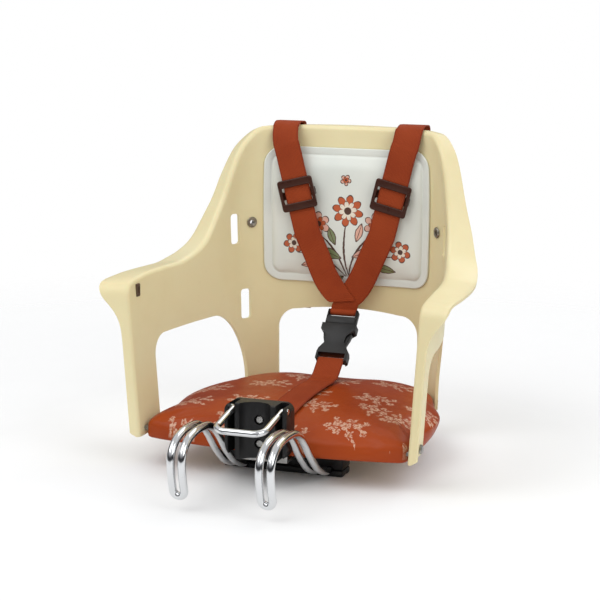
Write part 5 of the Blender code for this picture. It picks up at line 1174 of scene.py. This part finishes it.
# Woven webbing: ribs along the strap, each a row of yarn floats set half a step from its neighbours.
tree, given = effect("woven_ribs", [("Map", "Vector", None), ("Rib", "Float", 0.00125),
                                    ("Float", "Float", 0.0017)], [("Relief", "Float"), ("Edge", "Float")])
parts = parts_of(tree, given["Map"])
rib = sum_of(tree, "DIVIDE", parts[0], given["Rib"])
odd = sum_of(tree, "MULTIPLY", sum_of(tree, "PINGPONG", sum_of(tree, "FLOOR", rib), 1.0), 0.5)
step = sum_of(tree, "ADD", sum_of(tree, "DIVIDE", parts[1], given["Float"]), odd)
hump = sum_of(tree, "SINE", sum_of(tree, "MULTIPLY", sum_of(tree, "FRACT", rib), np.pi))
yarn = sum_of(tree, "SINE", sum_of(tree, "MULTIPLY", sum_of(tree, "FRACT", step), np.pi))
selvedge = sum_of(tree, "GREATER_THAN", sum_of(tree, "ABSOLUTE", parts[0]), 0.0112)
put(tree, "NodeGroupOutput", {"Relief": sum_of(tree, "ADD", hump, sum_of(tree, "MULTIPLY", yarn, 0.8)),
                              "Edge": selvedge})

tree, place = blank("rust_webbing")
weave_map = put(tree, "ShaderNodeUVMap", uv_map="weave").outputs[0]
ribs = use(tree, "woven_ribs", Map=weave_map)
tone = ramp(tree, noise(tree, place, 24.0, 5.0), (0.3, (0.275, 0.039, 0.009)), (0.7, (0.345, 0.055, 0.013)))
# Painted shade and light: the colour is darkened in the hollows between ribs and yarn floats and made a little
# lighter on their crowns, on top of the bumps.
shade = stretch(tree, ribs["Relief"], 0.2, 1.5, 0.62, 1.08)
shade = put(tree, "ShaderNodeCombineColor", {0: shade, 1: shade, 2: shade}).outputs[0]
tone = mixed(tree, 1.0, tone, shade, "MULTIPLY")
tone = mixed(tree, sum_of(tree, "MULTIPLY", ribs["Edge"], 0.45), tone, (0.16, 0.022, 0.010))
webbing_cloth = finish("rust_webbing", tone, 0.68, bumped(tree, ribs["Relief"], 0.55, 0.0004),
                       Specular_IOR_Level=0.15)


def loop_round(bar, first, last, steps):
    """Places on a loop of webbing round a bar of the buckle, bar metres down from its top, from one angle
    in degrees to another."""
    turn = np.radians(np.linspace(first, last, steps))[:, None]
    return (buckle_top + buckle_down * (bar + loop_radius * np.cos(turn))
            + buckle_front * (loop_radius * np.sin(turn)))


for side, label, tail, layer in ((1, "right", 0.092, 0), (-1, "left", 0.0795, 1)):
    route = shoulder_route(side, tail, layer)
    if layer == 0:
        route = np.vstack([route, loop_round(bar_radius, 150, -80, 28)])
    step = np.gradient(route, axis=0)
    square = np.clip((route[:, 2] - meeting_height) / webbing_width, 0, 1)
    steep = np.abs(step[:, 2]) > np.abs(step[:, 1])
    tilt = np.where(steep, -step[:, 0] / np.where(steep, step[:, 2], 1.0), 0.0)
    sideways = np.stack([np.ones(len(route)), np.zeros(len(route)), tilt * square], -1)
    route = room(route[:, 0], route[:, 1], route[:, 2])
    strap = webbing("shoulder_webbing_" + label, route, sideways)
    add_weave_map(strap, route, sideways)
    strap.data.materials.append(webbing_cloth)
    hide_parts("shoulder_strap_" + label)


def cushion_top(depth):
    """Height of the cushion along its middle line."""
    half = np.where(depth < cushion_centre, -cushion_front - cushion_centre, cushion_back - cushion_centre)
    return crown(np.minimum(1.0, np.abs((depth - cushion_centre) / half)))


loop = loop_round(buckle_length - bar_radius, -75, -275, 26)
lift = gap + webbing_thick / 2 + 0.0006
on_top = np.array((0.119, 0.108, 0.090, 0.070, 0.050, 0.030, 0.012, 0.002, -0.004))
on_top = np.stack([np.zeros(9), on_top, cushion_top(on_top) + lift], -1)
fold_over = [(0, 0.131, float(cushion_top(np.array(0.131))) + lift + 0.003),
             (0, 0.1215, float(cushion_top(np.array(0.1215))) + lift + 0.0007)]
front_face = -cushion_front - gap - webbing_thick / 2
under, round_off = hem_low - gap - webbing_thick / 2, 2 * webbing_thick
rest_of = [(0, front_face + 0.35 * round_off, cushion_edge + 2.7 * round_off), (0, front_face, cushion_edge),
           (0, front_face, round_off), (0, front_face + 0.02 * round_off, 0.1 * round_off),
           (0, front_face + 0.3 * round_off, under + 0.25 * round_off),
           (0, front_face + round_off, under + 0.02 * round_off), (0, front_face + 2 * round_off, under),
           (0, 0.020 - webbing_thick, under)]
route = np.vstack([loop, smooth_route(np.vstack([loop[-1:], fold_over, on_top, rest_of]), 8)[1:]])
sideways = np.tile((1.0, 0.0, 0.0), (len(route), 1))
route = room(route[:, 0], route[:, 1], route[:, 2])
strap = webbing("crotch_webbing", route, sideways)
add_weave_map(strap, route, sideways)
strap.data.materials.append(webbing_cloth)
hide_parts("crotch_strap")


# Strap adjusters. Dark brown moulded frames with a wide bar above and below; the webbing runs behind
# the frame and over a bar at its back, so it shows between the two bars. They slide along the straps.

brown_plastic = moulded("brown_plastic", (0.040, 0.011, 0.006), (0.055, 0.017, 0.009), 60.0, 1800.0, 0.2,
                        (0.24, 0.38), Specular_IOR_Level=0.3)
rest_height, bar_half_length, bar_half_width, bar_half_thick = 0.188, 0.0165, 0.00375, 0.0009
frame_low, frame_half_thick, bar_lift, bar_end_round, post_across = 0.0010, 0.00125, -0.0019, 0.0005, 0.01495


def squared(ring, power):
    """A wave from 1 to -1 with flatter tops: sign times size to a power under 1."""
    return np.sign(ring) * np.abs(ring) ** power


def in_frame(flat, lift, middle, right, up, front):
    """Places of an adjuster: middle + right x + up y + front lift."""
    return middle + flat[..., :1] * right + flat[..., 1:2] * up + lift[..., None] * front


slope = (top_across - foot_across) / (top_height - foot_height)
for side, label, layer in ((1, "right", 0), (-1, "left", 1)):
    up = unit(np.array((side * slope, 0.0, 1.0)))
    front = np.array((0.0, -1.0, 0.0))
    right = np.cross(up, front) * -1.0
    middle = room(side * (foot_across + slope * (rest_height - foot_height)),
                  strap_depth - layer * (webbing_thick + gap), rest_height)
    # Frame: a squared ring carried from its outer to its inner outline.
    outer, inner = round_box(0.034, 0.029, 0.0026), round_box(0.0280, 0.0146, 0.0010)
    ring = np.linspace(0, 2 * np.pi, 21)[:, None]
    share = (0.5 - 0.5 * squared(np.cos(ring), 0.45))[..., None]
    lift = frame_low + frame_half_thick * (1 + squared(np.sin(ring), 0.55))
    grid = in_frame(outer * (1 - share) + inner * share, lift, middle, right, up, front)
    # Bar behind it, smaller at its ends.
    bar = np.linspace(0, 2 * np.pi, 17)
    near_end = bar_half_length - bar_end_round
    length, shrink = np.array([(-bar_half_length, 0.8), (-near_end, 1.0), (near_end, 1.0),
                               (bar_half_length, 0.8)]).T[..., None]
    flat = np.stack(np.broadcast_arrays(length, squared(np.cos(bar), 0.6) * bar_half_width * shrink), -1)
    bar_grid = in_frame(flat, bar_lift + squared(np.sin(bar), 0.6) * bar_half_thick * shrink, middle, right, up,
                        front)
    # Two posts that join the bar to the frame.
    post_box, levels = round_box(0.0032, 0.0072, 0.0008, 4, 3), np.array((-0.0026, 0.0022))[:, None]
    posts = [in_frame((post_box + (post * post_across, 0))[None], levels, middle, right, up, front)
             for post in (1, -1)]
    slider = surface("strap_slider_" + label,
                     [(False, grid), (False, bar_grid), *[(True, post) for post in posts]], "adjuster_" + label,
                     40.0, close=[bar_grid[0, :-1][::-1], bar_grid[-1, :-1],
                                  *[post[0, :-1][::-1] for post in posts]])
    slider.data.materials.append(brown_plastic)
    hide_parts("strap_adjuster_" + label)


# Side-release buckle. Black plastic: a tongue with two springy prongs that snap into the open sides of
# the body, a strap bar at each end. It hangs from the right shoulder strap and holds the crotch strap.

softened(("buckle_tongue", "buckle_body"), 0.00045, black)
softened(("buckle_prong_left", "buckle_prong_right"), 0.0005, black,
         {"buckle_prong_left": "prong_left", "buckle_prong_right": "prong_right"})


low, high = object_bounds()
